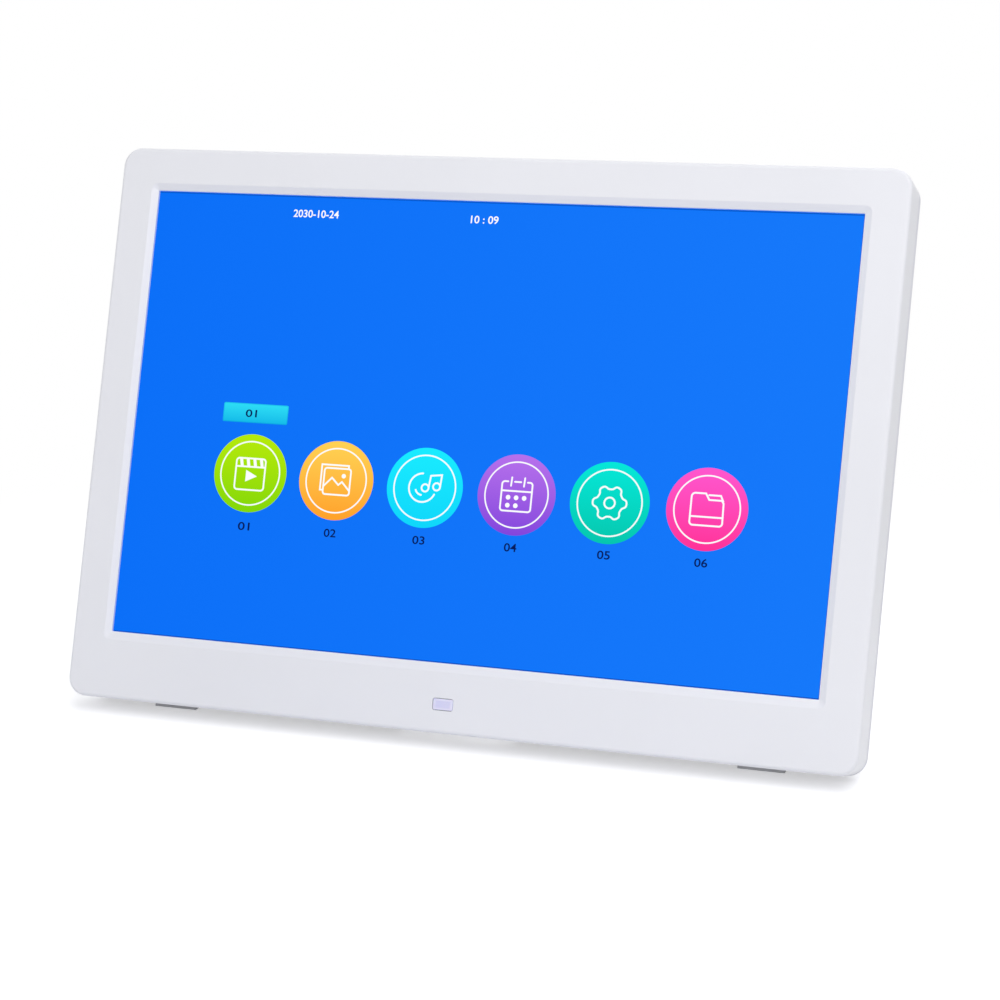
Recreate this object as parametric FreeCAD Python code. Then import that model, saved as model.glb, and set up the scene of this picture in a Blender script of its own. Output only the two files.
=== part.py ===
"""A 13.3 inch digital photo frame standing on its rear leg, as an assembly of separate pieces.

Every piece is first built upright in the casing's own frame, in millimetres: X to the right as seen
from the front, Y from the front face (Y = 0) into the casing, Z up from the bottom edge (Z = 0).
stand_up() then leans the finished pieces back by LEAN and sets them on the table, so that in the
finished frame +Z is up, the display faces -Y and the origin is under the middle of the object.
"""
import FreeCAD, Part
import math
import os

V = FreeCAD.Vector

# ---------------------------------------------------------------- casing
BODY_W = 319.2            # casing width
BODY_H = 222.6            # casing height
BODY_D = 25.0             # casing depth
CORNER_R = 7.5            # corner radius seen from the front
FRONT_ROUND = 1.5         # rounding of the front edge
REAR_ROUND = 3.0          # rounding of the rear edge
WALL = 2.2                # wall of the front bezel
FRONT_PLATE = 2.4         # thickness of the bezel round the display
BACK_PLATE = 2.2          # thickness of the rear cover
BEZEL_D = 18.0            # depth of the bezel's side wall
SEAM = 0.3                # shadow gap between bezel and rear cover
LIP_GAP = 0.15            # play of the rear cover's lip inside the bezel
LIP_T = 1.2               # thickness of that lip
LIP_DEPTH = 3.0           # how far the lip reaches into the bezel

MIDDLE_Z = BODY_H / 2
LEFT = -BODY_W / 2                        # the side that carries the sockets
REAR_Y0 = BEZEL_D + SEAM                  # front of the rear cover's outer wall
COVER_IN = BODY_D - BACK_PLATE            # inner face of the rear cover
LIP_OUT = WALL + LIP_GAP                  # lip's outer face, in from the casing's outline
REAR_WALL = LIP_OUT + LIP_T               # wall of the rear cover

# ---------------------------------------------------------------- display
SIDE_MARGIN = 16.56       # casing round the picture: sides, top and bottom
TOP_MARGIN = 17.0
BOTTOM_MARGIN = 26.8
BEVEL = 2.7               # width of the sloped edge round the picture: sides and top, and below it
BEVEL_LOW = 3.4
BEVEL_DEPTH = 1.3
BEVEL_ROUND = 0.8         # rounding of the slope's front edge
BEVEL_CORNER = 2.6        # corner radius at the front of the slope
PICTURE_CORNER = 0.3      # corner radius at the picture
MODULE_SIDE = 6.5         # display module round the picture: sides, top and bottom
MODULE_TOP = 6.2
MODULE_BOTTOM = 9.0
GASKET_T = 0.5
FRAME_T = 0.3             # sheet of the display's steel frame
GLASS_T = 1.4
FILM_T = 0.5
GUIDE_T = 2.0
REFLECTOR_T = 0.2
TRAY_T = 0.6
PLAY = 0.1                # play between stacked sheets
LED_COUNT = 24

PICTURE_W = BODY_W - 2 * SIDE_MARGIN      # 13.3 inch, 16:10
PICTURE_H = BODY_H - TOP_MARGIN - BOTTOM_MARGIN
PICTURE_Z = BOTTOM_MARGIN + PICTURE_H / 2
MODULE_W = PICTURE_W + 2 * MODULE_SIDE
MODULE_H = PICTURE_H + MODULE_TOP + MODULE_BOTTOM
MODULE_Z = BOTTOM_MARGIN - MODULE_BOTTOM + MODULE_H / 2
MODULE_TOP_Z = MODULE_Z + MODULE_H / 2
GASKET_Y = FRONT_PLATE
FRAME_Y = GASKET_Y + GASKET_T
GLASS_Y = FRAME_Y + FRAME_T
FILM_Y = GLASS_Y + GLASS_T + PLAY
GUIDE_Y = FILM_Y + FILM_T
REFLECTOR_Y = GUIDE_Y + GUIDE_T
TRAY_Y = REFLECTOR_Y + REFLECTOR_T
MODULE_BACK = TRAY_Y + TRAY_T
DRIVER_W, DRIVER_H, DRIVER_T = 60.0, 28.0, 1.0
DRIVER_X, DRIVER_Z = -96.0, 56.0          # lower left corner of the display's own board

# ---------------------------------------------------------------- stand
LEAN = 18.4               # lean of the casing, degrees
STAND_OPEN = 28.0         # angle between the open leg and the casing, degrees
HINGE_Z = 150.0           # hinge height above the casing's bottom edge
HINGE_R = 3.0             # radius of the leg's knuckle
PIN_R = 2.0
PIN_PLAY = 0.05           # radial clearance of the pin
PIN_SEAT = 7.0            # how deep each end of the pin sits in its boss
PIN_BOSS = 5.0            # half the height of that boss
RECESS_D = 6.8            # depth of the recess that the leg folds into
RECESS_FLOOR_T = 2.0
LEG_W = 56.0              # width of the leg at its knuckle
LEG_FOOT_W = 44.0         # width of the leg at its foot
LEG_T = 5.0
LEG_SKIN = 2.0            # skin of the leg between its ribs
LEG_RIB = 1.8
LEG_CELLS = 5
LEG_ROUND = 0.8
SIDE_PLAY = 0.8           # between the leg and the recess, on each side
WASHER_T = 0.4
HEEL = 5.0                # height of the stop above the knuckle
STOP_GAP = 0.2            # between the stop and the recess floor when the leg is open
PAD_T = 1.5               # rubber under the leg
FOOT_RISE = 0.6           # how far the foot pads lift the casing off the table
FOOT_W = 18.0
FOOT_X = BODY_W / 2 - 39.0
FOOT_Y0, FOOT_Y1 = 20.0, 23.6
FOOT_TOP = 1.3

RECESS_W = LEG_W + 2 * SIDE_PLAY
RECESS_Y = BODY_D - RECESS_D              # floor of the recess
HINGE_Y = RECESS_Y + HINGE_R + 0.3
RECESS_TOP = HINGE_Z + 8.0
LEAN_RAD = math.radians(LEAN)
LIFT = (BODY_D - REAR_ROUND) * math.sin(LEAN_RAD) + REAR_ROUND * (1 - math.cos(LEAN_RAD)) + FOOT_RISE
HINGE_HEIGHT = HINGE_Z * math.cos(LEAN_RAD) - HINGE_Y * math.sin(LEAN_RAD) + LIFT
LEG_SLOPE = STAND_OPEN - LEAN             # the open leg's angle from the vertical, degrees
LEG_LENGTH = (HINGE_HEIGHT - PAD_T) / math.cos(math.radians(LEG_SLOPE))

# ---------------------------------------------------------------- screws
SCREW_R = 1.3
SCREW_LENGTH = 12.0
BOARD_SCREW_LENGTH = 4.0
SCREW_HEAD_R = 2.6
SCREW_HEAD_T = 1.8
PILOT_R = SCREW_R + 0.05
SCREW_HOLE_R = SCREW_R + 0.4
COUNTERBORE_R = SCREW_HEAD_R + 0.4
BOSS_R = 3.2              # bezel's screw bosses
POST_R = 4.2              # rear cover's screw posts
POST_END_R = 3.4          # the posts' ends, where they pass the lip
BOSS_MEET = 16.0          # where boss and post meet
HEAD_SEAT = 20.2          # where a case screw's head seats
CLIP_T = 0.8              # steel clips between the upper bosses and posts
UPPER_SCREW_Z = BODY_H - 6.4
LOWER_SCREW_Z = 9.5
UPPER_SCREWS = [(x, UPPER_SCREW_Z) for x in (LEFT + 19, -47.0, 47.0, -LEFT - 19)]
LOWER_SCREWS = [(x, LOWER_SCREW_Z) for x in (LEFT + 13, -50.0, 50.0, -LEFT - 13)]
CASE_SCREWS = UPPER_SCREWS + LOWER_SCREWS

# ---------------------------------------------------------------- remote control window
IR_W, IR_H, IR_Z = 8.1, 4.4, 11.1
IR_GAP = 0.15
IR_FLANGE = 1.5
IR_FLANGE_T = 0.8
IR_LENS_R = 2.0
IR_BOARD_W, IR_BOARD_H, IR_BOARD_T = 32.0, 9.0, 1.0
IR_BOARD_Y = FRONT_PLATE + IR_FLANGE_T + 5.4
IR_RAIL_X, IR_RAIL_R = 13.0, 2.2

# ---------------------------------------------------------------- main board and its sockets
BOARD_T = 1.6
BOARD_Y = 16.6            # front face of the main board, which carries the sockets
BOARD_W = 93.2
BOARD_X0 = LEFT + REAR_WALL + 0.2
BOARD_X1 = BOARD_X0 + BOARD_W
BOARD_Z0, BOARD_Z1 = 74.0, 170.0
BOARD_BACK = BOARD_Y + BOARD_T
BOARD_HOLES = [(BOARD_X0 + 16, BOARD_Z0 + 3.6), (BOARD_X1 - 4, BOARD_Z0 + 3.6),
               (BOARD_X0 + 26, BOARD_Z1 - 4), (BOARD_X1 - 4, BOARD_Z1 - 4)]
BOARD_POST_R = 3.0
PORT_Y = 13.0             # middle of the sockets' openings
PANEL_Z0, PANEL_Z1 = 76.0, 168.0          # moulded insert that surrounds the sockets
PANEL_Y0 = 8.0
PANEL_GAP = 0.15
PANEL_FLANGE = 1.0        # the insert's flange inside the wall: overlap and thickness
CARD_Z, USB_Z, JACK_Z, DC_Z, SWITCH_Z = 94.0, 119.0, 134.0, 146.5, 160.0
CARD_SOCKET_W, CARD_SOCKET_T, CARD_SOCKET_L = 27.0, 3.2, 28.0
CARD_W, CARD_T = 24.4, 2.2
USB_W, USB_T, USB_L, USB_SHELL = 13.2, 6.0, 14.0, 0.4
AUDIO_R = 1.8             # bore of the 3.5 mm headphone socket
AUDIO_L = 14.0
NOSE_WALL = 1.2           # wall of the headphone socket's nose
DC_R, DC_PIN_R = 3.1, 1.0
DC_NOSE_R = 3.8
DC_L = 13.0
DC_DEPTH = 10.0
SLIDER_TRAVEL = 3.0
SLIDER_L, SLIDER_T = 4.0, 2.0
NOSE_GAP = 0.15           # play of a socket in the insert
PORT_INSET = 0.2          # sockets end this far inside the casing's side
NOSE_X = LEFT + PORT_INSET
PORT_X = LEFT + WALL + PANEL_FLANGE + 0.2                  # outer ends of the sockets' bodies

CHIP_X, CHIP_Z, CHIP_SIZE, CHIP_T = -112.0, 128.0, 15.0, 1.4
SINK_SIZE, SINK_BASE, SINK_T, SINK_FINS, SINK_FIN_T = 19.0, 1.0, 2.8, 6, 1.0
MEMORY = [(-90.0, 136.0, 10.0, 12.0), (-90.0, 120.0, 10.0, 12.0), (-112.0, 108.0, 8.0, 6.0),
          (-132.0, 112.0, 5.0, 5.0)]
CAPACITORS = [(-142.0, 150.0), (-134.0, 150.0), (-142.0, 141.0)]
CAPACITOR_R, CAPACITOR_H = 3.1, 4.0
INDUCTORS = [(-124.0, 143.0), (-124.0, 152.0)]
INDUCTOR_SIZE, INDUCTOR_H = 7.0, 3.0
CELL_X, CELL_Z, CELL_R, CELL_T = -78.0, 98.0, 6.25, 2.0

# ---------------------------------------------------------------- keys
KEY_NAMES = ["power", "menu", "left", "up", "down", "right", "enter"]
KEY_PITCH = 13.0
KEY_X0 = LEFT + 19.0
KEY_Z = BODY_H - 29.0
KEY_R = 4.3
KEY_GAP = 0.3
KEY_FLANGE_R = 5.4
KEY_FLANGE_T = 1.0
KEY_PROUD = 0.8
KEY_TRAVEL = 0.5
KEY_STEM_R = 2.2
KEY_BOARD_Y = 15.0
KEY_BOARD_T = 1.2
KEY_BOARD_H = 12.0
KEY_POST_R = 2.6
SWITCH_SIZE, SWITCH_T = 6.0, 3.1
PLUNGER_R, PLUNGER_T = 1.7, 0.7
KEYS = [(name, KEY_X0 + i * KEY_PITCH) for i, name in enumerate(KEY_NAMES)]
KEY_POSTS = [KEYS[0][1] - 9.0, KEYS[-1][1] + 9.0]

# ---------------------------------------------------------------- speakers, vents and hangers
SPEAKER_X, SPEAKER_Z = BODY_W / 2 - 51.0, 42.0
SPEAKER_R = 18.0
SPEAKER_Y = 22.3          # rear face of the speaker's rim
MAGNET_R, MAGNET_T = 8.5, 4.0
GRILLE_R = 14.5
GRILLE_HOLE_R = 0.9
GRILLE_PITCH = 3.4
LEAD_R = 0.8
LEAD_BEND = 2.5           # radius of the leads' bends
PLUG_L, PLUG_W, PLUG_T = 6.0, 6.0, 3.5
PLUG_Y = BOARD_Y - PLUG_T / 2             # where the leads enter their plugs
LEAD_TOP_Z = 96.0
TAPE_X = [84.0, 30.0, -24.0]
VENT_COUNT, VENT_W, VENT_L, VENT_PITCH = 22, 1.8, 20.0, 4.2
VENT_X, VENT_Z = 66.0, BODY_H - 34.0
HANGER_X, HANGER_Z = 80.0, BODY_H - 62.0
HANGER_W, HANGER_H, HANGER_T = 20.0, 26.0, 1.2
HANGER_R = 4.5            # entry hole, which takes a screw's head
HANGER_SLOT_R = 2.1
HANGER_RISE = 9.0
HANGER_MARGIN = 1.2       # how much larger the cover's opening is
LABEL_X, LABEL_Z, LABEL_W, LABEL_H, LABEL_DEPTH = 96.0, 96.0, 52.0, 30.0, 0.3


# ================================================================ helpers
def rounded_rect(width, height, radius, y, z_middle, x_middle=0.0):
    """A rectangle with rounded corners, as a wire in the plane Y = y."""
    x0, x1 = x_middle - width / 2, x_middle + width / 2
    z0, z1 = z_middle - height / 2, z_middle + height / 2
    off = radius * (1 - math.sqrt(0.5))
    corners = [(x1, z0, -1, 1), (x1, z1, -1, -1), (x0, z1, 1, -1), (x0, z0, 1, 1)]
    arcs = []
    for i, (x, z, sx, sz) in enumerate(corners):
        on_side, on_level = V(x, y, z + sz * radius), V(x + sx * radius, y, z)
        first, last = (on_level, on_side) if i % 2 == 0 else (on_side, on_level)
        arcs.append((first, V(x + sx * off, y, z + sz * off), last))
    edges = []
    for i, (first, middle, last) in enumerate(arcs):
        edges.append(Part.Arc(first, middle, last).toShape())
        edges.append(Part.LineSegment(last, arcs[(i + 1) % 4][0]).toShape())
    return Part.Wire(edges)


def slab(width, height, radius, y0, y1, z_middle, x_middle=0.0):
    """A rounded rectangle carried from y0 to y1."""
    return Part.Face(rounded_rect(width, height, radius, y0, z_middle, x_middle)).extrude(V(0, y1 - y0, 0))


def block(x0, x1, y0, y1, z0, z1):
    return Part.makeBox(x1 - x0, y1 - y0, z1 - z0, V(x0, y0, z0))


def rod_y(x, z, radius, y0, y1):
    return Part.makeCylinder(radius, y1 - y0, V(x, y0, z), V(0, 1, 0))


def rod_x(y, z, radius, x0, x1):
    return Part.makeCylinder(radius, x1 - x0, V(x0, y, z), V(1, 0, 0))


def fuse(shapes):
    return shapes[0].multiFuse(shapes[1:]).removeSplitter()


def cut_all(shape, tools):
    return shape.cut(Part.makeCompound(tools))


def prism(corners, direction):
    """A closed polygon of points carried along a vector."""
    return Part.Face(Part.makePolygon(corners + corners[:1])).extrude(direction)


def prism_x(points, x0, x1):
    """A polygon of (y, z) points carried from x0 to x1."""
    return prism([V(x0, y, z) for y, z in points], V(x1 - x0, 0, 0))


def turned(points, x, z):
    """A polygon of (radius, y) points turned about the line along Y through (x, z)."""
    corners = [V(x + radius, y, z) for radius, y in points]
    return Part.Face(Part.makePolygon(corners + corners[:1])).revolve(V(x, 0, z), V(0, 1, 0), 360)


def edges_at_y(shape, y):
    """The edges that lie in the plane Y = y."""
    return [e for e in shape.Edges if abs(e.BoundBox.YMin - y) < 1e-4 and abs(e.BoundBox.YMax - y) < 1e-4]


def edges_at_x(shape, x):
    """The edges that lie in the plane X = x."""
    return [e for e in shape.Edges if abs(e.BoundBox.XMin - x) < 1e-4 and abs(e.BoundBox.XMax - x) < 1e-4]


def tube(points, radius, bend):
    """A round lead along straight runs joined by tangent arcs of one radius."""
    edges, start = [], points[0]
    for before, corner, after in zip(points, points[1:], points[2:]):
        inward, outward = (corner - before).normalize(), (after - corner).normalize()
        cut_back = bend * math.tan(inward.getAngle(outward) / 2)
        first, last = corner - inward * cut_back, corner + outward * cut_back
        centre = first + (outward - inward * inward.dot(outward)).normalize() * bend
        middle = centre + (corner - centre).normalize() * bend
        edges.append(Part.LineSegment(start, first).toShape())
        edges.append(Part.Arc(first, middle, last).toShape())
        start = last
    edges.append(Part.LineSegment(start, points[-1]).toShape())
    ring = Part.Wire(Part.makeCircle(radius, points[0], (points[1] - points[0]).normalize()))
    return Part.Wire(edges).makePipeShell([ring], True, False)


# ================================================================ casing
def boss_end(screw):
    """Where the bezel's boss for a case screw ends: the upper four leave room for a clip."""
    return BOSS_MEET - CLIP_T if screw in UPPER_SCREWS else BOSS_MEET


def front_bezel():
    """The front half of the casing: display surround, side walls and screw bosses."""
    shell = slab(BODY_W, BODY_H, CORNER_R, 0, BEZEL_D, MIDDLE_Z)
    shell = shell.makeFillet(FRONT_ROUND, edges_at_y(shell, 0))
    inside = slab(BODY_W - 2 * WALL, BODY_H - 2 * WALL, CORNER_R - WALL, FRONT_PLATE, BEZEL_D + 1, MIDDLE_Z)
    slope = Part.makeLoft(
        [rounded_rect(PICTURE_W + 2 * BEVEL, PICTURE_H + BEVEL + BEVEL_LOW, BEVEL_CORNER, 0,
                      PICTURE_Z + (BEVEL - BEVEL_LOW) / 2),
         rounded_rect(PICTURE_W, PICTURE_H, PICTURE_CORNER, BEVEL_DEPTH, PICTURE_Z)], True, True)
    window = slab(PICTURE_W, PICTURE_H, PICTURE_CORNER, BEVEL_DEPTH, FRONT_PLATE + 1, PICTURE_Z)
    shell = shell.cut(inside).cut(slope).cut(window)
    margin = FRONT_ROUND + CORNER_R
    rim = [e for e in edges_at_y(shell, 0) if e.BoundBox.ZMin > margin and e.BoundBox.ZMax < BODY_H - margin
           and e.BoundBox.XMin > margin - BODY_W / 2 and e.BoundBox.XMax < BODY_W / 2 - margin]
    shell = shell.makeFillet(BEVEL_ROUND, rim)
    bosses = [rod_y(x, z, BOSS_R, FRONT_PLATE - 0.2, boss_end((x, z))) for x, z in CASE_SCREWS]
    rails = [rod_y(side * IR_RAIL_X, IR_Z, IR_RAIL_R, FRONT_PLATE - 0.2, IR_BOARD_Y) for side in (-1, 1)]
    shell = fuse([shell] + bosses + rails)
    holes = [rod_y(x, z, PILOT_R, FRONT_PLATE + 2, BOSS_MEET) for x, z in CASE_SCREWS]
    holes.append(slab(IR_W + 2 * IR_GAP, IR_H + 2 * IR_GAP, 0.9, -1, FRONT_PLATE + 1, IR_Z))
    holes.append(block(LEFT - 1, LEFT + WALL + 1, PANEL_Y0, BEZEL_D + 1, PANEL_Z0, PANEL_Z1))
    return cut_all(shell, holes)


def lip_ring():
    """The lip that locates the rear cover inside the bezel, relieved round the bezel's bosses."""
    y0 = REAR_Y0 - LIP_DEPTH
    outer = slab(BODY_W - 2 * LIP_OUT, BODY_H - 2 * LIP_OUT, CORNER_R - LIP_OUT, y0, REAR_Y0 + 1, MIDDLE_Z)
    inner = slab(BODY_W - 2 * REAR_WALL, BODY_H - 2 * REAR_WALL, CORNER_R - REAR_WALL, y0 - 1, REAR_Y0 + 2,
                 MIDDLE_Z)
    reliefs = [rod_y(x, z, BOSS_R + 0.3, y0 - 1, BOSS_MEET) for x, z in CASE_SCREWS]
    reliefs.append(block(LEFT, LEFT + REAR_WALL + 0.5, y0 - 1, REAR_Y0, PANEL_Z0 - 3, PANEL_Z1 + 3))
    return cut_all(outer.cut(inner), reliefs)


def recess(grow, y0, y1, bottom, top):
    """The leg's recess, wider by grow: straight at the hinge, tapered like the leg below it."""
    taper_z = HINGE_Z - PIN_BOSS
    upper = RECESS_W / 2 + grow
    lower = upper - (taper_z - bottom) * (LEG_W - LEG_FOOT_W) / 2 / LEG_LENGTH
    corners = [V(-lower, y0, bottom), V(-upper, y0, taper_z), V(-upper, y0, top),
               V(upper, y0, top), V(upper, y0, taper_z), V(lower, y0, bottom)]
    return prism(corners, V(0, y1 - y0, 0))


def grille_holes(x_middle, z_middle):
    """Round holes on a triangular lattice inside the speaker's circle."""
    row_step = GRILLE_PITCH * math.sqrt(3) / 2
    rows = int(GRILLE_R / row_step)
    columns = int(GRILLE_R / GRILLE_PITCH) + 1
    holes = []
    for row in range(-rows, rows + 1):
        shift = GRILLE_PITCH / 2 if row % 2 else 0.0
        for column in range(-columns, columns + 1):
            x, z = column * GRILLE_PITCH + shift, row * row_step
            if math.hypot(x, z) < GRILLE_R:
                holes.append(rod_y(x_middle + x, z_middle + z, GRILLE_HOLE_R, COVER_IN - 1, BODY_D + 1))
    return holes


def keyhole(x_middle, y0, y1, play):
    """A keyhole: a round entry with a narrow slot above it."""
    top, slot_r = HANGER_Z + HANGER_RISE, HANGER_SLOT_R + play
    return [rod_y(x_middle, HANGER_Z, HANGER_R + play, y0, y1),
            block(x_middle - slot_r, x_middle + slot_r, y0, y1, HANGER_Z, top),
            rod_y(x_middle, top, slot_r, y0, y1)]


def hanger_ribs(x_middle):
    """Two ribs inside the cover, one on each side of a hanger plate."""
    z0, z1 = HANGER_Z + 2 - HANGER_H / 2, HANGER_Z + 2 + HANGER_H / 2
    y0, y1 = COVER_IN - HANGER_T - 1.5, COVER_IN + 0.2
    reach = HANGER_W / 2 + 0.1
    return [block(x_middle - reach - 1.6, x_middle - reach, y0, y1, z0, z1),
            block(x_middle + reach, x_middle + reach + 1.6, y0, y1, z0, z1)]


def foot_pocket(x_middle):
    """The pocket in the cover's lower edge that a foot pad is glued into."""
    return block(x_middle - FOOT_W / 2, x_middle + FOOT_W / 2, FOOT_Y0, FOOT_Y1, -1, FOOT_TOP)


def cover_openings():
    """Everything that is cut through or into the rear cover."""
    half = RECESS_W / 2
    cuts = [recess(0, RECESS_Y, BODY_D + 1, -1, RECESS_TOP),
            rod_x(HINGE_Y, HINGE_Z, PIN_R + PIN_PLAY, -half - PIN_SEAT, half + PIN_SEAT),
            slab(LABEL_W, LABEL_H, 2.0, BODY_D - LABEL_DEPTH, BODY_D + 1, LABEL_Z, LABEL_X)]
    for x, z in CASE_SCREWS:
        cuts.append(rod_y(x, z, SCREW_HOLE_R, BOSS_MEET - 1, HEAD_SEAT + 0.5))
        cuts.append(rod_y(x, z, COUNTERBORE_R, HEAD_SEAT, BODY_D + 1))
    cuts += [rod_y(x, z, PILOT_R, BOARD_Y, COVER_IN - 0.5) for x, z in BOARD_HOLES]
    cuts += [rod_y(x, KEY_Z, PILOT_R, KEY_BOARD_Y, COVER_IN - 0.5) for x in KEY_POSTS]
    cuts += [rod_y(x, KEY_Z, KEY_R + KEY_GAP, COVER_IN - 1, BODY_D + 1) for _, x in KEYS]
    for side in (-1, 1):
        cuts += grille_holes(side * SPEAKER_X, SPEAKER_Z)
        cuts += keyhole(side * HANGER_X, COVER_IN - 1, BODY_D + 1, HANGER_MARGIN)
        cuts.append(foot_pocket(side * FOOT_X))
    first = VENT_X - (VENT_COUNT - 1) * VENT_PITCH / 2
    for i in range(VENT_COUNT):
        cuts.append(slab(VENT_W, VENT_L, VENT_W / 2 - 0.01, COVER_IN - 1, BODY_D + 1, VENT_Z,
                         first + i * VENT_PITCH))
    return cuts


def rear_cover():
    """The rear half of the casing, with the recess for the leg and everything moulded into it."""
    shell = slab(BODY_W, BODY_H, CORNER_R, REAR_Y0, BODY_D, MIDDLE_Z)
    shell = shell.makeFillet(REAR_ROUND, edges_at_y(shell, BODY_D))
    shell = shell.cut(slab(BODY_W - 2 * REAR_WALL, BODY_H - 2 * REAR_WALL, CORNER_R - REAR_WALL,
                           REAR_Y0 - 1, COVER_IN, MIDDLE_Z))
    floor_y = RECESS_Y - RECESS_FLOOR_T
    boss_half = RECESS_W / 2 + RECESS_FLOOR_T + PIN_SEAT
    parts = [shell, lip_ring(),
             recess(RECESS_FLOOR_T, floor_y, COVER_IN + 0.2, LIP_OUT, RECESS_TOP + RECESS_FLOOR_T),
             block(-boss_half, boss_half, floor_y, COVER_IN + 0.2, HINGE_Z - PIN_BOSS, HINGE_Z + PIN_BOSS)]
    for x, z in CASE_SCREWS:
        parts.append(rod_y(x, z, POST_R, REAR_Y0, COVER_IN + 0.2))
        parts.append(rod_y(x, z, POST_END_R, BOSS_MEET, REAR_Y0 + 0.5))
    parts += [rod_y(x, z, BOARD_POST_R, BOARD_BACK, COVER_IN + 0.2) for x, z in BOARD_HOLES]
    parts += [rod_y(x, KEY_Z, KEY_POST_R, KEY_BOARD_Y + KEY_BOARD_T, COVER_IN + 0.2) for x in KEY_POSTS]
    for side in (-1, 1):
        rim = [(GRILLE_R + 1.0, SPEAKER_Y), (SPEAKER_R + 0.8, SPEAKER_Y),
               (SPEAKER_R + 0.8, COVER_IN + 0.2), (GRILLE_R + 1.0, COVER_IN + 0.2)]
        parts.append(turned(rim, side * SPEAKER_X, SPEAKER_Z))
        parts += hanger_ribs(side * HANGER_X)
    return cut_all(fuse(parts), cover_openings())


def table_line(y):
    """The table's height at depth y, in the casing's own frame."""
    return (y * math.sin(LEAN_RAD) - LIFT) / math.cos(LEAN_RAD)


def foot_pads():
    """Two silicone pads under the rear edge, cut off in the table's plane."""
    outline = [(FOOT_Y0, FOOT_TOP), (FOOT_Y0, table_line(FOOT_Y0)),
               (FOOT_Y1, table_line(FOOT_Y1)), (FOOT_Y1, FOOT_TOP)]
    return Part.makeCompound([prism_x(outline, side * FOOT_X - FOOT_W / 2, side * FOOT_X + FOOT_W / 2)
                              for side in (-1, 1)])


def hanger_plates():
    """Two steel keyhole plates behind the rear cover, for hanging the frame on screws."""
    plates = []
    for side in (-1, 1):
        middle = side * HANGER_X
        plate = slab(HANGER_W, HANGER_H, 1.5, COVER_IN - HANGER_T, COVER_IN, HANGER_Z + 2, middle)
        plates.append(plate.cut(fuse(keyhole(middle, COVER_IN - HANGER_T - 1, COVER_IN + 1, 0))))
    return Part.makeCompound(plates)


def port_panel():
    """The moulded insert in the left side wall, pierced for the sockets and the switch."""
    plate = block(LEFT, LEFT + WALL, PANEL_Y0 + PANEL_GAP, BEZEL_D - PANEL_GAP,
                  PANEL_Z0 + PANEL_GAP, PANEL_Z1 - PANEL_GAP)
    plate = plate.makeFillet(0.3, edges_at_x(plate, LEFT))
    flange = block(LEFT + WALL, LEFT + WALL + PANEL_FLANGE, PANEL_Y0 - PANEL_FLANGE, BEZEL_D - PANEL_GAP,
                   PANEL_Z0 - PANEL_FLANGE, PANEL_Z1 + PANEL_FLANGE)
    x0, x1 = LEFT - 1, LEFT + WALL + PANEL_FLANGE + 1

    def slot(width, height, z):
        return block(x0, x1, PORT_Y - height / 2, PORT_Y + height / 2, z - width / 2, z + width / 2)

    return cut_all(fuse([plate, flange]), [
        slot(CARD_W + 1.4, CARD_T + 0.8, CARD_Z), slot(USB_W + 2 * NOSE_GAP, USB_T + 2 * NOSE_GAP, USB_Z),
        rod_x(PORT_Y, JACK_Z, AUDIO_R + NOSE_WALL + NOSE_GAP, x0, x1),
        rod_x(PORT_Y, DC_Z, DC_NOSE_R + NOSE_GAP, x0, x1),
        slot(SLIDER_TRAVEL + SLIDER_L + 0.8, SLIDER_T + 0.8, SWITCH_Z)])


def ir_window():
    """The milky window in front of the remote control's receiver."""
    lens = slab(IR_W, IR_H, 0.6, 0.1, FRONT_PLATE + 0.3, IR_Z)
    lens = lens.makeChamfer(0.25, edges_at_y(lens, 0.1))
    flange = slab(IR_W + 2 * IR_FLANGE, IR_H + 2 * IR_FLANGE, 0.8, FRONT_PLATE, FRONT_PLATE + IR_FLANGE_T, IR_Z)
    return fuse([lens, flange])


def screw(x, z, seat, length, sign):
    """A pan-head screw along Y: its head stands from y = seat towards sign, its shank the other way."""
    top = seat + sign * SCREW_HEAD_T
    head = Part.makeCylinder(SCREW_HEAD_R, SCREW_HEAD_T, V(x, seat, z), V(0, sign, 0))
    head = head.makeFillet(0.6, edges_at_y(head, top))
    shank = Part.makeCylinder(SCREW_R, length, V(x, seat, z), V(0, -sign, 0))
    y0, y1 = sorted((top - sign * 1.1, top + sign))
    cross = fuse([block(x - 1.6, x + 1.6, y0, y1, z - 0.3, z + 0.3),
                  block(x - 0.3, x + 0.3, y0, y1, z - 1.6, z + 1.6)])
    return fuse([head, shank]).cut(cross)


def case_screws():
    return Part.makeCompound([screw(x, z, HEAD_SEAT, SCREW_LENGTH, 1) for x, z in CASE_SCREWS])


# ================================================================ display module
def screen_gasket():
    """The foam frame between the bezel and the display."""
    outer = slab(PICTURE_W + 9, PICTURE_H + 9, 1.5, GASKET_Y, FRAME_Y, PICTURE_Z)
    return outer.cut(slab(PICTURE_W + 3, PICTURE_H + 3, 1.0, GASKET_Y - 1, FRAME_Y + 1, PICTURE_Z))


def module_slab(inset, radius, y0, y1):
    """A slab as large as the display module less inset on each side."""
    return slab(MODULE_W - 2 * inset, MODULE_H - 2 * inset, radius, y0, y1, MODULE_Z)


def display_frame():
    """The pressed steel frame that holds the display's layers together."""
    opening = slab(PICTURE_W + 2.4, PICTURE_H + 2.4, 0.5, FRAME_Y - 1, FRAME_Y + 1, PICTURE_Z)
    outer = module_slab(0, 1.0, FRAME_Y, MODULE_BACK - 0.4)
    return outer.cut(module_slab(FRAME_T, 0.7, GLASS_Y, MODULE_BACK + 1)).cut(opening)


def display_glass():
    return module_slab(FRAME_T + 0.5, 0.5, GLASS_Y, GLASS_Y + GLASS_T)


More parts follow.
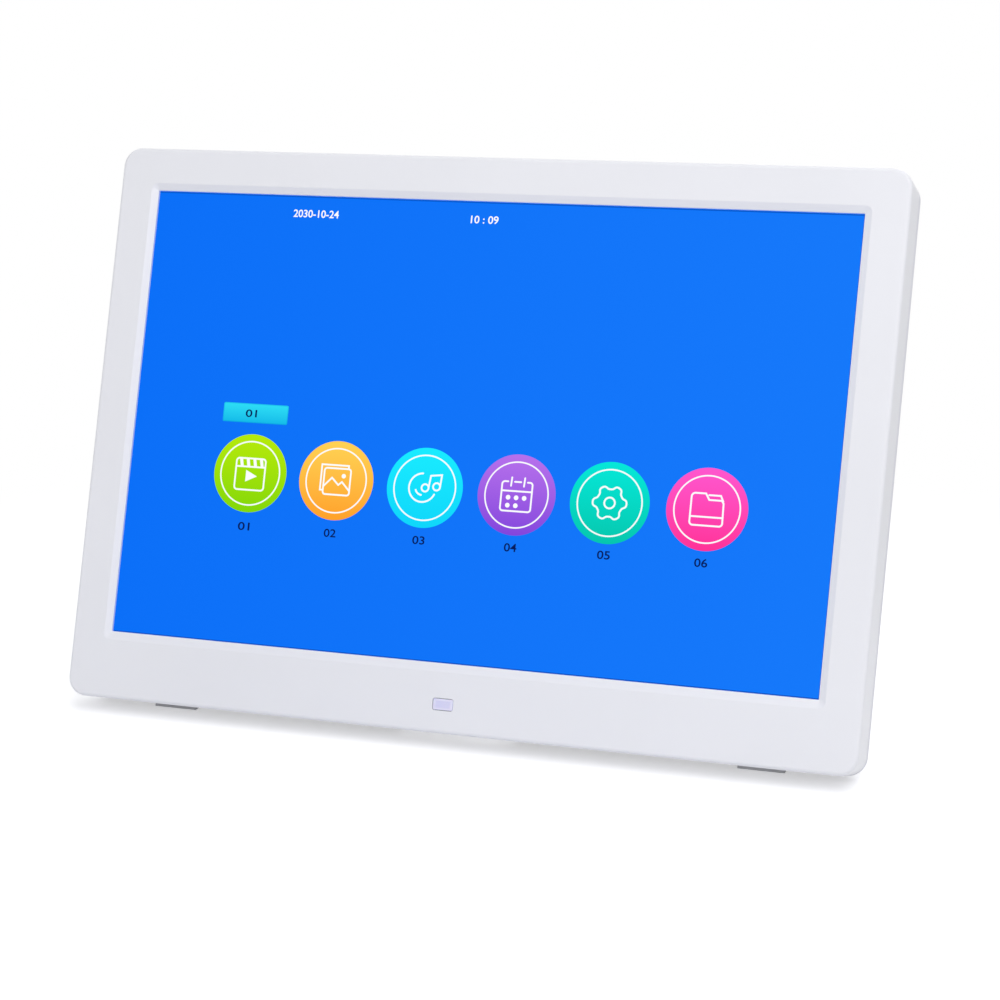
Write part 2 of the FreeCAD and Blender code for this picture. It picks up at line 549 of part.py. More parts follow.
def sheet(y, thickness):
    """A plain sheet of the display, a little larger than the picture."""
    return slab(PICTURE_W + 4.8, PICTURE_H + 4.8, 0.5, y, y + thickness, PICTURE_Z)


def optical_films():
    """The diffusing film in front of the light guide and the reflecting film behind it."""
    return Part.makeCompound([sheet(FILM_Y, FILM_T), sheet(REFLECTOR_Y, REFLECTOR_T)])


def backlight_tray():
    """The pressed pan behind the light guide, with a rim inside the steel frame."""
    rim = FRAME_T + PLAY
    pan = module_slab(rim, 0.6, GLASS_Y + GLASS_T + PLAY, MODULE_BACK)
    return pan.cut(module_slab(rim + TRAY_T, 0.4, GLASS_Y, TRAY_Y))


def led_strip():
    """The strip of light sources below the light guide: a narrow board with its row of diodes."""
    top = BOTTOM_MARGIN - 3.2
    pitch = PICTURE_W / LED_COUNT
    parts = [block(-PICTURE_W / 2, PICTURE_W / 2, GUIDE_Y, GUIDE_Y + GUIDE_T, top - 2.0, top - 1.2)]
    for i in range(LED_COUNT):
        x = -PICTURE_W / 2 + (i + 0.5) * pitch
        parts.append(block(x - 1.5, x + 1.5, GUIDE_Y + 0.3, GUIDE_Y + GUIDE_T - 0.3, top - 1.2, top))
    return fuse(parts)


def driver_board():
    """The display's own board on the back of the tray, with its chips and ribbon socket."""
    y0, y1 = MODULE_BACK, MODULE_BACK + DRIVER_T
    x, z = DRIVER_X, DRIVER_Z
    return fuse([block(x, x + DRIVER_W, y0, y1, z, z + DRIVER_H),
                 block(x + 8, x + 18, y1, y1 + 1.0, z + 6, z + 16),
                 block(x + 24, x + 30, y1, y1 + 1.0, z + 8, z + 14),
                 block(x + DRIVER_W - 14, x + DRIVER_W - 4, y1, y1 + 1.2, z + 4, z + DRIVER_H - 4)])


def display_clips():
    """Four bent steel clips, held under the upper case screws, that press the display forwards."""
    low, high = MODULE_TOP_Z - 0.6, MODULE_TOP_Z + 0.2
    clips = []
    for x, z in UPPER_SCREWS:
        x0, x1 = x - BOSS_R, x + BOSS_R
        clip = fuse([block(x0, x1, MODULE_BACK, MODULE_BACK + CLIP_T, low - 8, high),
                     block(x0, x1, MODULE_BACK, BOSS_MEET, low, high),
                     block(x0, x1, BOSS_MEET - CLIP_T, BOSS_MEET, low, z),
                     rod_y(x, z, BOSS_R, BOSS_MEET - CLIP_T, BOSS_MEET)])
        clips.append(clip.cut(rod_y(x, z, SCREW_HOLE_R, BOSS_MEET - 2, BOSS_MEET + 1)))
    return Part.makeCompound(clips)


# ================================================================ electronics
def main_board():
    board = block(BOARD_X0, BOARD_X1, BOARD_Y, BOARD_BACK, BOARD_Z0, BOARD_Z1)
    return cut_all(board, [rod_y(x, z, SCREW_R + 0.2, BOARD_Y - 1, BOARD_BACK + 1) for x, z in BOARD_HOLES])


def board_screws():
    """The screws of the main board and of the key board, entered from the front."""
    screws = [screw(x, z, BOARD_Y, BOARD_SCREW_LENGTH, -1) for x, z in BOARD_HOLES]
    screws += [screw(x, KEY_Z, KEY_BOARD_Y, BOARD_SCREW_LENGTH, -1) for x in KEY_POSTS]
    return Part.makeCompound(screws)


def processor():
    half = CHIP_SIZE / 2
    return block(CHIP_X - half, CHIP_X + half, BOARD_BACK, BOARD_BACK + CHIP_T, CHIP_Z - half, CHIP_Z + half)


def heat_sink():
    """A small finned heat sink on the processor."""
    y, half = BOARD_BACK + CHIP_T, SINK_SIZE / 2
    parts = [block(CHIP_X - half, CHIP_X + half, y, y + SINK_BASE, CHIP_Z - half, CHIP_Z + half)]
    pitch = (SINK_SIZE - SINK_FIN_T) / (SINK_FINS - 1)
    for i in range(SINK_FINS):
        x = CHIP_X - half + i * pitch
        parts.append(block(x, x + SINK_FIN_T, y + SINK_BASE, y + SINK_T, CHIP_Z - half, CHIP_Z + half))
    return fuse(parts)


def memory_chips():
    return Part.makeCompound([block(x - w / 2, x + w / 2, BOARD_BACK, BOARD_BACK + 1.1, z - h / 2, z + h / 2)
                              for x, z, w, h in MEMORY])


def power_capacitors():
    cans = []
    for x, z in CAPACITORS:
        half = CAPACITOR_R + 0.2
        base = block(x - half, x + half, BOARD_BACK, BOARD_BACK + 0.6, z - half, z + half)
        cans.append(fuse([base, rod_y(x, z, CAPACITOR_R, BOARD_BACK + 0.5, BOARD_BACK + CAPACITOR_H)]))
    return Part.makeCompound(cans)


def power_inductors():
    return Part.makeCompound([slab(INDUCTOR_SIZE, INDUCTOR_SIZE, 1.2, BOARD_BACK, BOARD_BACK + INDUCTOR_H, z, x)
                              for x, z in INDUCTORS])


def cell_holder():
    """The open-topped holder of the clock's button cell."""
    floor_y = BOARD_BACK + 0.6
    ring = rod_y(CELL_X, CELL_Z, CELL_R + 1.5, BOARD_BACK, BOARD_BACK + 2.6)
    ring = ring.cut(rod_y(CELL_X, CELL_Z, CELL_R + 0.1, floor_y, floor_y + 5))
    return ring.cut(block(CELL_X - 3, CELL_X + 3, floor_y, floor_y + 5, CELL_Z, CELL_Z + 12))


def clock_cell():
    return rod_y(CELL_X, CELL_Z, CELL_R, BOARD_BACK + 0.6, BOARD_BACK + 0.6 + CELL_T)


def card_socket():
    """A thin steel shell with a slot that takes a memory card."""
    y0, y1, z0, z1 = (PORT_Y - CARD_SOCKET_T / 2, PORT_Y + CARD_SOCKET_T / 2,
                      CARD_Z - CARD_SOCKET_W / 2, CARD_Z + CARD_SOCKET_W / 2)
    shell = block(PORT_X, PORT_X + CARD_SOCKET_L, y0, y1, z0, z1)
    slot = block(PORT_X - 1, PORT_X + CARD_SOCKET_L - 2, PORT_Y - CARD_T / 2, PORT_Y + CARD_T / 2,
                 CARD_Z - CARD_W / 2, CARD_Z + CARD_W / 2)
    legs = [block(PORT_X + 3, PORT_X + CARD_SOCKET_L - 3, y1, BOARD_Y, z, z + 1.0) for z in (z0, z1 - 1.0)]
    return fuse([shell.cut(slot)] + legs)


def usb_socket():
    """The steel shell of the USB socket, open at its outer end."""
    y0, y1 = PORT_Y - USB_T / 2, PORT_Y + USB_T / 2
    z0, z1 = USB_Z - USB_W / 2, USB_Z + USB_W / 2
    shell = block(NOSE_X, NOSE_X + USB_L, y0, y1, z0, z1)
    hollow = block(NOSE_X - 1, NOSE_X + USB_L - USB_SHELL, y0 + USB_SHELL, y1 - USB_SHELL,
                   z0 + USB_SHELL, z1 - USB_SHELL)
    legs = [block(NOSE_X + 5, NOSE_X + 12, y1, BOARD_Y, z, z + USB_SHELL) for z in (z0, z1 - USB_SHELL)]
    return fuse([shell.cut(hollow)] + legs)


def usb_tongue():
    """The plastic tongue that carries the USB contacts, with its block at the back."""
    y0, y1 = PORT_Y - USB_T / 2 + USB_SHELL, PORT_Y + USB_T / 2 - USB_SHELL
    z0, z1 = USB_Z - USB_W / 2 + USB_SHELL, USB_Z + USB_W / 2 - USB_SHELL
    tongue = block(NOSE_X + 1.2, NOSE_X + 10.5, y1 - 2.5, y1 - 0.5, z0 + 0.6, z1 - 0.6)
    return fuse([tongue, block(NOSE_X + 10, NOSE_X + USB_L - USB_SHELL, y0, y1, z0, z1)])


def headphone_jack():
    """The 3.5 mm socket: a round nose through the insert and a square body on the board."""
    nose = rod_x(PORT_Y, JACK_Z, AUDIO_R + NOSE_WALL, NOSE_X, PORT_X + 1)
    body = block(PORT_X, PORT_X + AUDIO_L, PORT_Y - 3.2, BOARD_Y, JACK_Z - 3.2, JACK_Z + 3.2)
    return fuse([nose, body]).cut(rod_x(PORT_Y, JACK_Z, AUDIO_R, NOSE_X - 1, PORT_X + AUDIO_L - 1.5))


def dc_jack():
    """The barrel socket for the mains adapter's lead."""
    nose = rod_x(PORT_Y, DC_Z, DC_NOSE_R, NOSE_X, PORT_X + 0.3)
    body = block(PORT_X, PORT_X + DC_L, PORT_Y - 4.0, BOARD_Y, DC_Z - 4.5, DC_Z + 4.5)
    barrel = rod_x(PORT_Y, DC_Z, DC_R, NOSE_X - 1, NOSE_X + DC_DEPTH)
    seat = rod_x(PORT_Y, DC_Z, DC_PIN_R, NOSE_X + DC_DEPTH - 1, NOSE_X + DC_DEPTH + 2.0)
    return fuse([nose, body]).cut(barrel).cut(seat)


def dc_jack_pin():
    pin = rod_x(PORT_Y, DC_Z, DC_PIN_R, NOSE_X + 1.5, NOSE_X + DC_DEPTH + 2.0)
    return pin.makeFillet(0.5, edges_at_x(pin, NOSE_X + 1.5))


def power_switch_body():
    """The slide switch's case on the board, hollow where the slider runs."""
    half = SLIDER_TRAVEL / 2 + SLIDER_L / 2 + 0.3
    case = block(PORT_X, PORT_X + 6.0, PORT_Y - 2.6, BOARD_Y, SWITCH_Z - 6.0, SWITCH_Z + 6.0)
    return case.cut(block(PORT_X - 1, PORT_X + 2.6, PORT_Y - SLIDER_T / 2 - 0.3, PORT_Y + SLIDER_T / 2 + 0.3,
                          SWITCH_Z - half, SWITCH_Z + half))


def power_slider():
    """The switch's ribbed slider, at the lower end of its travel."""
    x0, z = LEFT + 0.3, SWITCH_Z - SLIDER_TRAVEL / 2
    knob = block(x0, PORT_X + 2.4, PORT_Y - SLIDER_T / 2, PORT_Y + SLIDER_T / 2, z - SLIDER_L / 2, z + SLIDER_L / 2)
    knob = knob.makeFillet(0.25, edges_at_x(knob, x0))
    return cut_all(knob, [block(x0 - 1, x0 + 0.35, PORT_Y - 2, PORT_Y + 2, z + k - 0.2, z + k + 0.2)
                          for k in (-1, 0, 1)])


def ir_board():
    return block(-IR_BOARD_W / 2, IR_BOARD_W / 2, IR_BOARD_Y, IR_BOARD_Y + IR_BOARD_T,
                 IR_Z - IR_BOARD_H / 2, IR_Z + IR_BOARD_H / 2)


def ir_receiver():
    """The receiver's moulded block, with the round lens that looks out through the window."""
    front = FRONT_PLATE + IR_FLANGE_T + 1.0
    body = block(-3.0, 3.0, front + 1.2, IR_BOARD_Y, IR_Z - 2.6, IR_Z + 2.6)
    lens = rod_y(0, IR_Z, IR_LENS_R, front, front + 1.3)
    return fuse([body, lens.makeFillet(0.8, edges_at_y(lens, front))])


# ================================================================ keys
def key_board():
    x0, x1 = KEY_POSTS
    board = block(x0 - 4, x1 + 4, KEY_BOARD_Y, KEY_BOARD_Y + KEY_BOARD_T,
                  KEY_Z - KEY_BOARD_H / 2, KEY_Z + KEY_BOARD_H / 2)
    return cut_all(board, [rod_y(x, KEY_Z, SCREW_R + 0.2, KEY_BOARD_Y - 1, KEY_BOARD_Y + 3) for x in KEY_POSTS])


def tact_switches():
    """One square switch with a round plunger behind each key."""
    switches = []
    y0 = KEY_BOARD_Y + KEY_BOARD_T
    y1, half = y0 + SWITCH_T, SWITCH_SIZE / 2
    for _, x in KEYS:
        body = block(x - half, x + half, y0, y1, KEY_Z - half, KEY_Z + half)
        switches.append(fuse([body, rod_y(x, KEY_Z, PLUNGER_R, y1 - 0.1, y1 + PLUNGER_T)]))
    return Part.makeCompound(switches)


def key_cap(x):
    """A round key: cap, retaining flange under the cover and a stem over its switch."""
    top, flange_back = BODY_D + KEY_PROUD, COVER_IN - KEY_GAP
    flange_front = flange_back - KEY_FLANGE_T
    stem_front = KEY_BOARD_Y + KEY_BOARD_T + SWITCH_T + PLUNGER_T + KEY_TRAVEL + 0.1
    cap = rod_y(x, KEY_Z, KEY_R, flange_front, top)
    cap = cap.makeFillet(0.6, edges_at_y(cap, top))
    return fuse([cap, rod_y(x, KEY_Z, KEY_FLANGE_R, flange_front, flange_back),
                 rod_y(x, KEY_Z, KEY_STEM_R, stem_front, flange_front + 0.1)])


# ================================================================ speakers and leads
def speaker_basket(side):
    """The speaker's stamped basket, with the block that carries its terminals."""
    x, y = side * SPEAKER_X, SPEAKER_Y
    profile = [(4.0, y - 5.4), (9.0, y - 5.4), (SPEAKER_R - 1.2, y - 1.4), (SPEAKER_R, y - 1.4),
               (SPEAKER_R, y), (SPEAKER_R - 2.4, y), (SPEAKER_R - 2.4, y - 0.8), (SPEAKER_R - 3.4, y - 0.8),
               (8.2, y - 4.8), (4.0, y - 4.8)]
    terminal = block(x - 4, x + 4, y - 2.4, y - 1.4, SPEAKER_Z + SPEAKER_R - 2.0, SPEAKER_Z + SPEAKER_R + 2.0)
    tab = block(x - 4, x + 4, y - 1.4, y, SPEAKER_Z + SPEAKER_R - 1.5, SPEAKER_Z + SPEAKER_R + 0.7)
    return fuse([turned(profile, x, SPEAKER_Z), terminal, tab])


def speaker_magnet(side):
    y = SPEAKER_Y - 5.4
    return rod_y(side * SPEAKER_X, SPEAKER_Z, MAGNET_R, y - MAGNET_T, y)


def speaker_cone(side):
    """The paper cone with its edge and dust cap, as one thin turned skin."""
    y = SPEAKER_Y
    profile = [(15.5, y - 0.8), (13.6, y - 0.8), (6.0, y - 4.0), (5.6, y - 3.7), (0, y - 2.7),
               (0, y - 2.4), (5.9, y - 3.35), (6.2, y - 3.5), (13.4, y - 0.5), (15.5, y - 0.5)]
    return turned(profile, side * SPEAKER_X, SPEAKER_Z)


def lead_start(side):
    """The first three points of a speaker's lead: along its terminals, then down to the display's back."""
    x, y, z = side * SPEAKER_X, SPEAKER_Y - 2.4 - LEAD_R, SPEAKER_Z + SPEAKER_R
    return [V(x, y, z - 1.5), V(x, y, z + 5), V(x, MODULE_BACK + LEAD_R, z + 5)]


LEFT_PLUG_Z = BOARD_Z0 + 12.0
RIGHT_PLUG_X = BOARD_X1 - 4.0


def speaker_lead_left():
    x, y = -SPEAKER_X, MODULE_BACK + LEAD_R
    return tube(lead_start(-1) + [V(x, y, LEFT_PLUG_Z - 8), V(x, PLUG_Y, LEFT_PLUG_Z - 8),
                                  V(x, PLUG_Y, LEFT_PLUG_Z)], LEAD_R, LEAD_BEND)


def speaker_lead_right():
    x, y = SPEAKER_X, MODULE_BACK + LEAD_R
    turn_x = RIGHT_PLUG_X + 12
    return tube(lead_start(1) + [V(x, y, LEAD_TOP_Z), V(turn_x, y, LEAD_TOP_Z), V(turn_x, PLUG_Y, LEAD_TOP_Z),
                                 V(RIGHT_PLUG_X, PLUG_Y, LEAD_TOP_Z)], LEAD_R, LEAD_BEND)


def lead_plugs():
    """The two plugs that join the leads to the main board."""
    half, y0 = PLUG_W / 2, BOARD_Y - PLUG_T
    return Part.makeCompound([
        block(-SPEAKER_X - half, -SPEAKER_X + half, y0, BOARD_Y, LEFT_PLUG_Z, LEFT_PLUG_Z + PLUG_L),
        block(RIGHT_PLUG_X - PLUG_L, RIGHT_PLUG_X, y0, BOARD_Y, LEAD_TOP_Z - half, LEAD_TOP_Z + half)])


def lead_tapes():
    """Strips of tape that hold the long lead on the display's back."""
    y, r, t = MODULE_BACK, LEAD_R, 0.12
    lower = [(-6.0, 0.0), (-2.0, 0.0), (-0.9, 2 * r), (0.9, 2 * r), (2.0, 0.0), (6.0, 0.0)]
    upper = [(6.0, t), (2.1, t), (1.0, 2 * r + t), (-1.0, 2 * r + t), (-2.1, t), (-6.0, t)]
    outline = [(y + rise, LEAD_TOP_Z + z) for z, rise in lower + upper]
    return Part.makeCompound([prism_x(outline, x - 5, x + 5) for x in TAPE_X])


def display_ribbon():
    """The flat cable from the display's socket to the main board."""
    y0, y1, t = MODULE_BACK + DRIVER_T + 1.2, BOARD_Y, 0.3
    x = DRIVER_X + DRIVER_W - 9.0
    lower = [(x, y0), (x - 9, y0), (x - 14, y0 + 1), (x - 20, (y0 + y1) / 2 - 0.2), (x - 26, y1 - 1.5),
             (x - 31, y1 - t), (x - 40, y1 - t)]
    outline = lower + [(px, py + t) for px, py in reversed(lower)]
    z0, z1 = BOARD_Z0 + 1.0, BOARD_Z0 + 9.0
    return prism([V(px, py, z0) for px, py in outline], V(0, 0, z1 - z0))


def key_ribbon():
    """The flat cable from the key board down to the main board."""
    x0, t = KEY_X0 + 3 * KEY_PITCH + 2.0, 0.3
    front = [(KEY_BOARD_Y - t, KEY_Z - 2), (KEY_BOARD_Y - t, KEY_Z - 9), (BOARD_Y - t, BOARD_Z1 - 1),
             (BOARD_Y - t, BOARD_Z1 - 8)]
    outline = front + [(y + t, z) for y, z in reversed(front)]
    return prism_x(outline, x0, x0 + 8)


# ================================================================ stand
def open_leg(shape):
    """Turns a piece built along the folded leg, with the pin at the origin, into the open leg's place."""
    shape.rotate(V(0, 0, 0), V(1, 0, 0), STAND_OPEN)
    shape.translate(V(0, HINGE_Y, HINGE_Z))
    return shape


def leg_plate(inset, y0, y1):
    """The leg's tapered outline with a rounded foot end, smaller by inset, from y0 to y1."""
    top, foot, end = LEG_W / 2 - inset, LEG_FOOT_W / 2 - inset, -LEG_LENGTH - 1.0 + inset
    plate = prism([V(-top, y0, 0), V(-foot, y0, end), V(foot, y0, end), V(top, y0, 0)], V(0, y1 - y0, 0))
    corners = [e for e in plate.Edges if e.BoundBox.ZMax < end + 0.01 and e.BoundBox.XLength < 0.01]
    return plate.makeFillet(6.0 - inset, corners)


def under_leg(depth):
    """A block that starts level with the table at the leg's end and reaches depth below it."""
    slice_ = block(-LEG_W, LEG_W, -30, 30, -LEG_LENGTH - depth, -LEG_LENGTH)
    slice_.rotate(V(0, 0, -LEG_LENGTH), V(1, 0, 0), -LEG_SLOPE)
    return slice_


def leg_pockets():
    """The hollows between the ribs on the leg's inner side."""
    top, end = -10.0, 12.0 - LEG_LENGTH
    pitch = (top - end) / LEG_CELLS
    cells = []
    for i in range(LEG_CELLS):
        z1 = top - i * pitch
        cells.append(block(-LEG_W, -LEG_RIB / 2, -LEG_T, LEG_T / 2, z1 - pitch + LEG_RIB, z1))
        cells.append(block(LEG_RIB / 2, LEG_W, -LEG_T, LEG_T / 2, z1 - pitch + LEG_RIB, z1))
    return leg_plate(2.2, -LEG_T, LEG_T / 2 - LEG_SKIN).common(Part.makeCompound(cells))


def stand_leg():
    """The moulded leg: a knuckle, a ribbed plate, and the stop above the pin."""
    plate = leg_plate(0.0, -LEG_T / 2, LEG_T / 2)
    plate = plate.makeFillet(LEG_ROUND, [e for e in edges_at_y(plate, LEG_T / 2) if e.BoundBox.ZMin < -1])
    plate = plate.cut(under_leg(40.0))
    leg = fuse([plate, rod_x(0, 0, HINGE_R, -LEG_W / 2, LEG_W / 2)]).cut(leg_pockets())
    stop = block(-LEG_W / 2, LEG_W / 2, RECESS_Y + STOP_GAP, HINGE_Y, HINGE_Z, HINGE_Z + HEEL)
    leg = fuse([open_leg(leg), stop])
    return leg.cut(rod_x(HINGE_Y, HINGE_Z, PIN_R + PIN_PLAY, -LEG_W, LEG_W))


def stand_foot_pad():
    """The rubber pad under the leg, flat on the table when the leg is open."""
    pad = slab(LEG_FOOT_W - 8.0, 12.0, 3.0, 0.2 - LEG_T / 2, LEG_T / 2 - LEG_ROUND, -LEG_LENGTH)
    return open_leg(pad.common(under_leg(PAD_T)))


def stand_pin():
    """The steel hinge pin, held in the rear cover's bosses."""
    reach = RECESS_W / 2 + PIN_SEAT - 0.3
    pin = rod_x(HINGE_Y, HINGE_Z, PIN_R, -reach, reach)
    return pin.makeChamfer(0.4, edges_at_x(pin, -reach) + edges_at_x(pin, reach))


def hinge_washers():
    """A thin washer on each side of the leg that gives the hinge its friction."""
    washers = []
    for side in (-1, 1):
        middle = side * (RECESS_W / 2 - WASHER_T / 2)
        disc = rod_x(HINGE_Y, HINGE_Z, HINGE_R, middle - WASHER_T / 2, middle + WASHER_T / 2)
        washers.append(disc.cut(rod_x(HINGE_Y, HINGE_Z, PIN_R + PIN_PLAY, middle - 2, middle + 2)))
    return Part.makeCompound(washers)


# ================================================================ assembly
def build():
    """Every piece in the casing's own frame, by name."""
    makers = [front_bezel, rear_cover, port_panel, ir_window, foot_pads, case_screws, hanger_plates,
              screen_gasket, display_frame, display_glass, optical_films, backlight_tray, led_strip,
              driver_board, display_clips, display_ribbon, main_board, board_screws, processor, heat_sink,
              memory_chips, power_capacitors, power_inductors, cell_holder, clock_cell, card_socket,
              usb_socket, usb_tongue, headphone_jack, dc_jack, dc_jack_pin, power_switch_body, power_slider,
              ir_board, ir_receiver, key_board, tact_switches, key_ribbon, speaker_lead_left,
              speaker_lead_right, lead_plugs, lead_tapes, stand_leg, stand_foot_pad, stand_pin, hinge_washers]
    nodes = {maker.__name__: maker() for maker in makers}
    nodes["light_guide"] = sheet(GUIDE_Y, GUIDE_T)
    for name, x in KEYS:
        nodes[name + "_key"] = key_cap(x)
    for side, word in ((-1, "left"), (1, "right")):
        nodes["speaker_basket_" + word] = speaker_basket(side)
        nodes["speaker_magnet_" + word] = speaker_magnet(side)
        nodes["speaker_cone_" + word] = speaker_cone(side)
    return nodes


def stand_up(nodes):
    """Leans every piece back, sets it on the table and centres the whole over the origin along Y."""
    for shape in nodes.values():
        shape.rotate(V(0, 0, 0), V(1, 0, 0), -LEAN)
        shape.translate(V(0, 0, LIFT))
    boxes = [nodes[name].optimalBoundingBox() for name in ("front_bezel", "rear_cover", "stand_leg")]
    shift = -(min(b.YMin for b in boxes) + max(b.YMax for b in boxes)) / 2
    for shape in nodes.values():
        shape.translate(V(0, shift, 0))
    return shift


NODES = build()
SHIFT_Y = stand_up(NODES)
os.makedirs("parts", exist_ok=True)
for node_name, node_shape in NODES.items():
    node_shape.exportStep(os.path.join("parts", node_name + ".step"))
print(len(NODES), "nodes; lead bends", LEAD_BEND, "mm; lift", round(LIFT, 3), "mm; shift", round(SHIFT_Y, 3), "mm")
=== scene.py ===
"""Looks of the digital photo frame: a white casing leaning on its rear leg, with its display lit."""
import math
import bpy
import numpy as np
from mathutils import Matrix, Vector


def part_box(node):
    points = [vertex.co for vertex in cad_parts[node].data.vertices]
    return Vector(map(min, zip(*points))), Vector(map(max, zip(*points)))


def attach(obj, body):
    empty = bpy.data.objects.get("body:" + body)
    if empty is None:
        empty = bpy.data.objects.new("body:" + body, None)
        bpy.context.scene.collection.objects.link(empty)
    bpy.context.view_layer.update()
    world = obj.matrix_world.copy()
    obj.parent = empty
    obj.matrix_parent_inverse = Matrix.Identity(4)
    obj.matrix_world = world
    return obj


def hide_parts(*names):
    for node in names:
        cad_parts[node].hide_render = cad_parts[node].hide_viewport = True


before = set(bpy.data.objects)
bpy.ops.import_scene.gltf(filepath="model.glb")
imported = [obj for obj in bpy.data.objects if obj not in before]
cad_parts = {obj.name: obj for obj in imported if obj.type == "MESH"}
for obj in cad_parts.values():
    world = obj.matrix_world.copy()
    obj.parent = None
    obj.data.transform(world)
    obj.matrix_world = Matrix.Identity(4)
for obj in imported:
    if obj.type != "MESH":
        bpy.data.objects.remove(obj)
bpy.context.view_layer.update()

# ---------------------------------------------------------------- where the casing stands
# The casing leans back by 18.4 degrees with its foot pads on the table. The display glass, a plain
# slab between 3.2 and 4.6 mm behind the front face and 18.6 mm above the bottom edge, places it.
lean = math.radians(18.4)
glass_low, glass_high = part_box("display_glass")
stand_y = 1000 * glass_low.y - 3.2 * math.cos(lean) - 18.6 * math.sin(lean)
stand_z = 1000 * glass_low.z - 18.6 * math.cos(lean) + 4.6 * math.sin(lean)


def on_casing(x, y, z):
    """Points in metres for places in the casing's own millimetres: x to the right, y into the casing
    from its front face, z up the face from its bottom edge, all turned back by the lean."""
    x, y, z = np.broadcast_arrays(*(np.asarray(v, float) for v in (x, y, z)))
    back = y * math.cos(lean) + z * math.sin(lean) + stand_y
    up = z * math.cos(lean) - y * math.sin(lean) + stand_z
    return np.stack([x, back, up], axis=-1) / 1000


# ---------------------------------------------------------------- camera
# A camera low on the right of the display's middle, level, looking a little down and to the left.
lens = bpy.data.cameras.new("camera")
lens.sensor_width = 36.0
lens.lens = 84.13
lens.shift_y = 0.1031
camera = bpy.data.objects.new("camera", lens)
camera.location = on_casing(290.7, -842.7, 16.9)
camera.rotation_euler = (math.radians(90 - 15.25), 0, math.radians(18.547))
bpy.context.scene.collection.objects.link(camera)
bpy.context.scene.camera = camera
bpy.context.scene.view_settings.view_transform = "Standard"


# ---------------------------------------------------------------- table, backdrop and light
# A white table that runs on without an edge, a white surround, and soft lamps above the display.
def linear(red, green, blue):
    """A colour of 0 to 255 steps as the linear values that shaders take."""
    steps = np.array([red, green, blue]) / 255
    return (*np.where(steps <= 0.04045, steps / 12.92, ((steps + 0.055) / 1.055) ** 2.4), 1.0)


def wire(tree, source, target):
    tree.links.new(source, target)


def seen_directly(tree):
    """1 for rays from the camera, from gloss and through glass, and 0 for the light on the object."""
    path = tree.nodes.new("ShaderNodeLightPath")
    first, second = tree.nodes.new("ShaderNodeMath"), tree.nodes.new("ShaderNodeMath")
    first.operation = second.operation = "MAXIMUM"
    wire(tree, path.outputs["Is Camera Ray"], first.inputs[0])
    wire(tree, path.outputs["Is Glossy Ray"], first.inputs[1])
    wire(tree, first.outputs[0], second.inputs[0])
    wire(tree, path.outputs["Is Transmission Ray"], second.inputs[1])
    return second.outputs[0]


surround = bpy.data.worlds.new("surround")
bpy.context.scene.world = surround
surround.use_nodes = True
tree = surround.node_tree
tree.nodes.clear()
soft, white, either, out = (tree.nodes.new("ShaderNode" + kind) for kind in
                            ("Background", "Background", "MixShader", "OutputWorld"))
soft.inputs["Color"].default_value = (0.95, 0.965, 1.0, 1)
soft.inputs["Strength"].default_value = 0.52
white.inputs["Color"].default_value = (1, 1, 1, 1)
wire(tree, seen_directly(tree), either.inputs["Fac"])
wire(tree, soft.outputs[0], either.inputs[1])
wire(tree, white.outputs[0], either.inputs[2])
wire(tree, either.outputs[0], out.inputs["Surface"])


def soft_lamp(name, place, aim, size, power):
    """A square area lamp of the given size in metres that faces the point aim."""
    lamp = bpy.data.lights.new(name, "AREA")
    lamp.size, lamp.energy = size, power
    holder = bpy.data.objects.new(name, lamp)
    holder.location = place
    way = np.array(aim, float) - np.array(place, float)
    holder.rotation_euler = (math.acos(-way[2] / np.linalg.norm(way)), 0, math.atan2(way[1], way[0]) - math.pi / 2)
    bpy.context.scene.collection.objects.link(holder)


soft_lamp("key_lamp", (0.5, -0.95, 1.15), (0.05, 0, 0.12), 0.7, 5.2)
soft_lamp("top_lamp", (0.3, -0.3, 1.4), (0, 0, 0.1), 0.9, 4.4)
soft_lamp("front_lamp", (0.5, -1.7, 0.25), (0, 0, 0.1), 1.0, 4.2)
soft_lamp("back_lamp", (0.3, 1.6, 1.3), (0, 0, 0.1), 1.2, 7)

reach = 6.0
table_mesh = bpy.data.meshes.new("table_top")
table_mesh.from_pydata([(-reach, -reach, 0), (reach, -reach, 0), (reach, reach, 0), (-reach, reach, 0)], [], [(0, 1, 2, 3)])
table_top = bpy.data.objects.new("table_top", table_mesh)
bpy.context.scene.collection.objects.link(table_top)
paper = bpy.data.materials.new("white_table")
paper.use_nodes = True
tree = paper.node_tree
tree.nodes.clear()
matte, glow, both, plain, either, out, share = (tree.nodes.new("ShaderNode" + kind) for kind in (
    "BsdfDiffuse", "Emission", "AddShader", "Emission", "MixShader", "OutputMaterial", "Math"))
share.operation = "MULTIPLY"
matte.inputs["Color"].default_value = (0.84, 0.84, 0.85, 1)
glow.inputs["Color"].default_value = (0.42, 0.42, 0.42, 1)
wire(tree, seen_directly(tree), glow.inputs["Strength"])
wire(tree, seen_directly(tree), share.inputs[1])
distance, far = tree.nodes.new("ShaderNodeVectorMath"), tree.nodes.new("ShaderNodeMapRange")
distance.operation = "LENGTH"
far.interpolation_type = "SMOOTHSTEP"
far.inputs["From Min"].default_value = 0.22
far.inputs["From Max"].default_value = 0.5
wire(tree, tree.nodes.new("ShaderNodeTexCoord").outputs["Object"], distance.inputs[0])
wire(tree, distance.outputs["Value"], far.inputs["Value"])
wire(tree, far.outputs["Result"], share.inputs[0])
wire(tree, share.outputs[0], either.inputs["Fac"])
wire(tree, matte.outputs[0], both.inputs[0])
wire(tree, glow.outputs[0], both.inputs[1])
wire(tree, both.outputs[0], either.inputs[1])
wire(tree, plain.outputs[0], either.inputs[2])
wire(tree, either.outputs[0], out.inputs["Surface"])
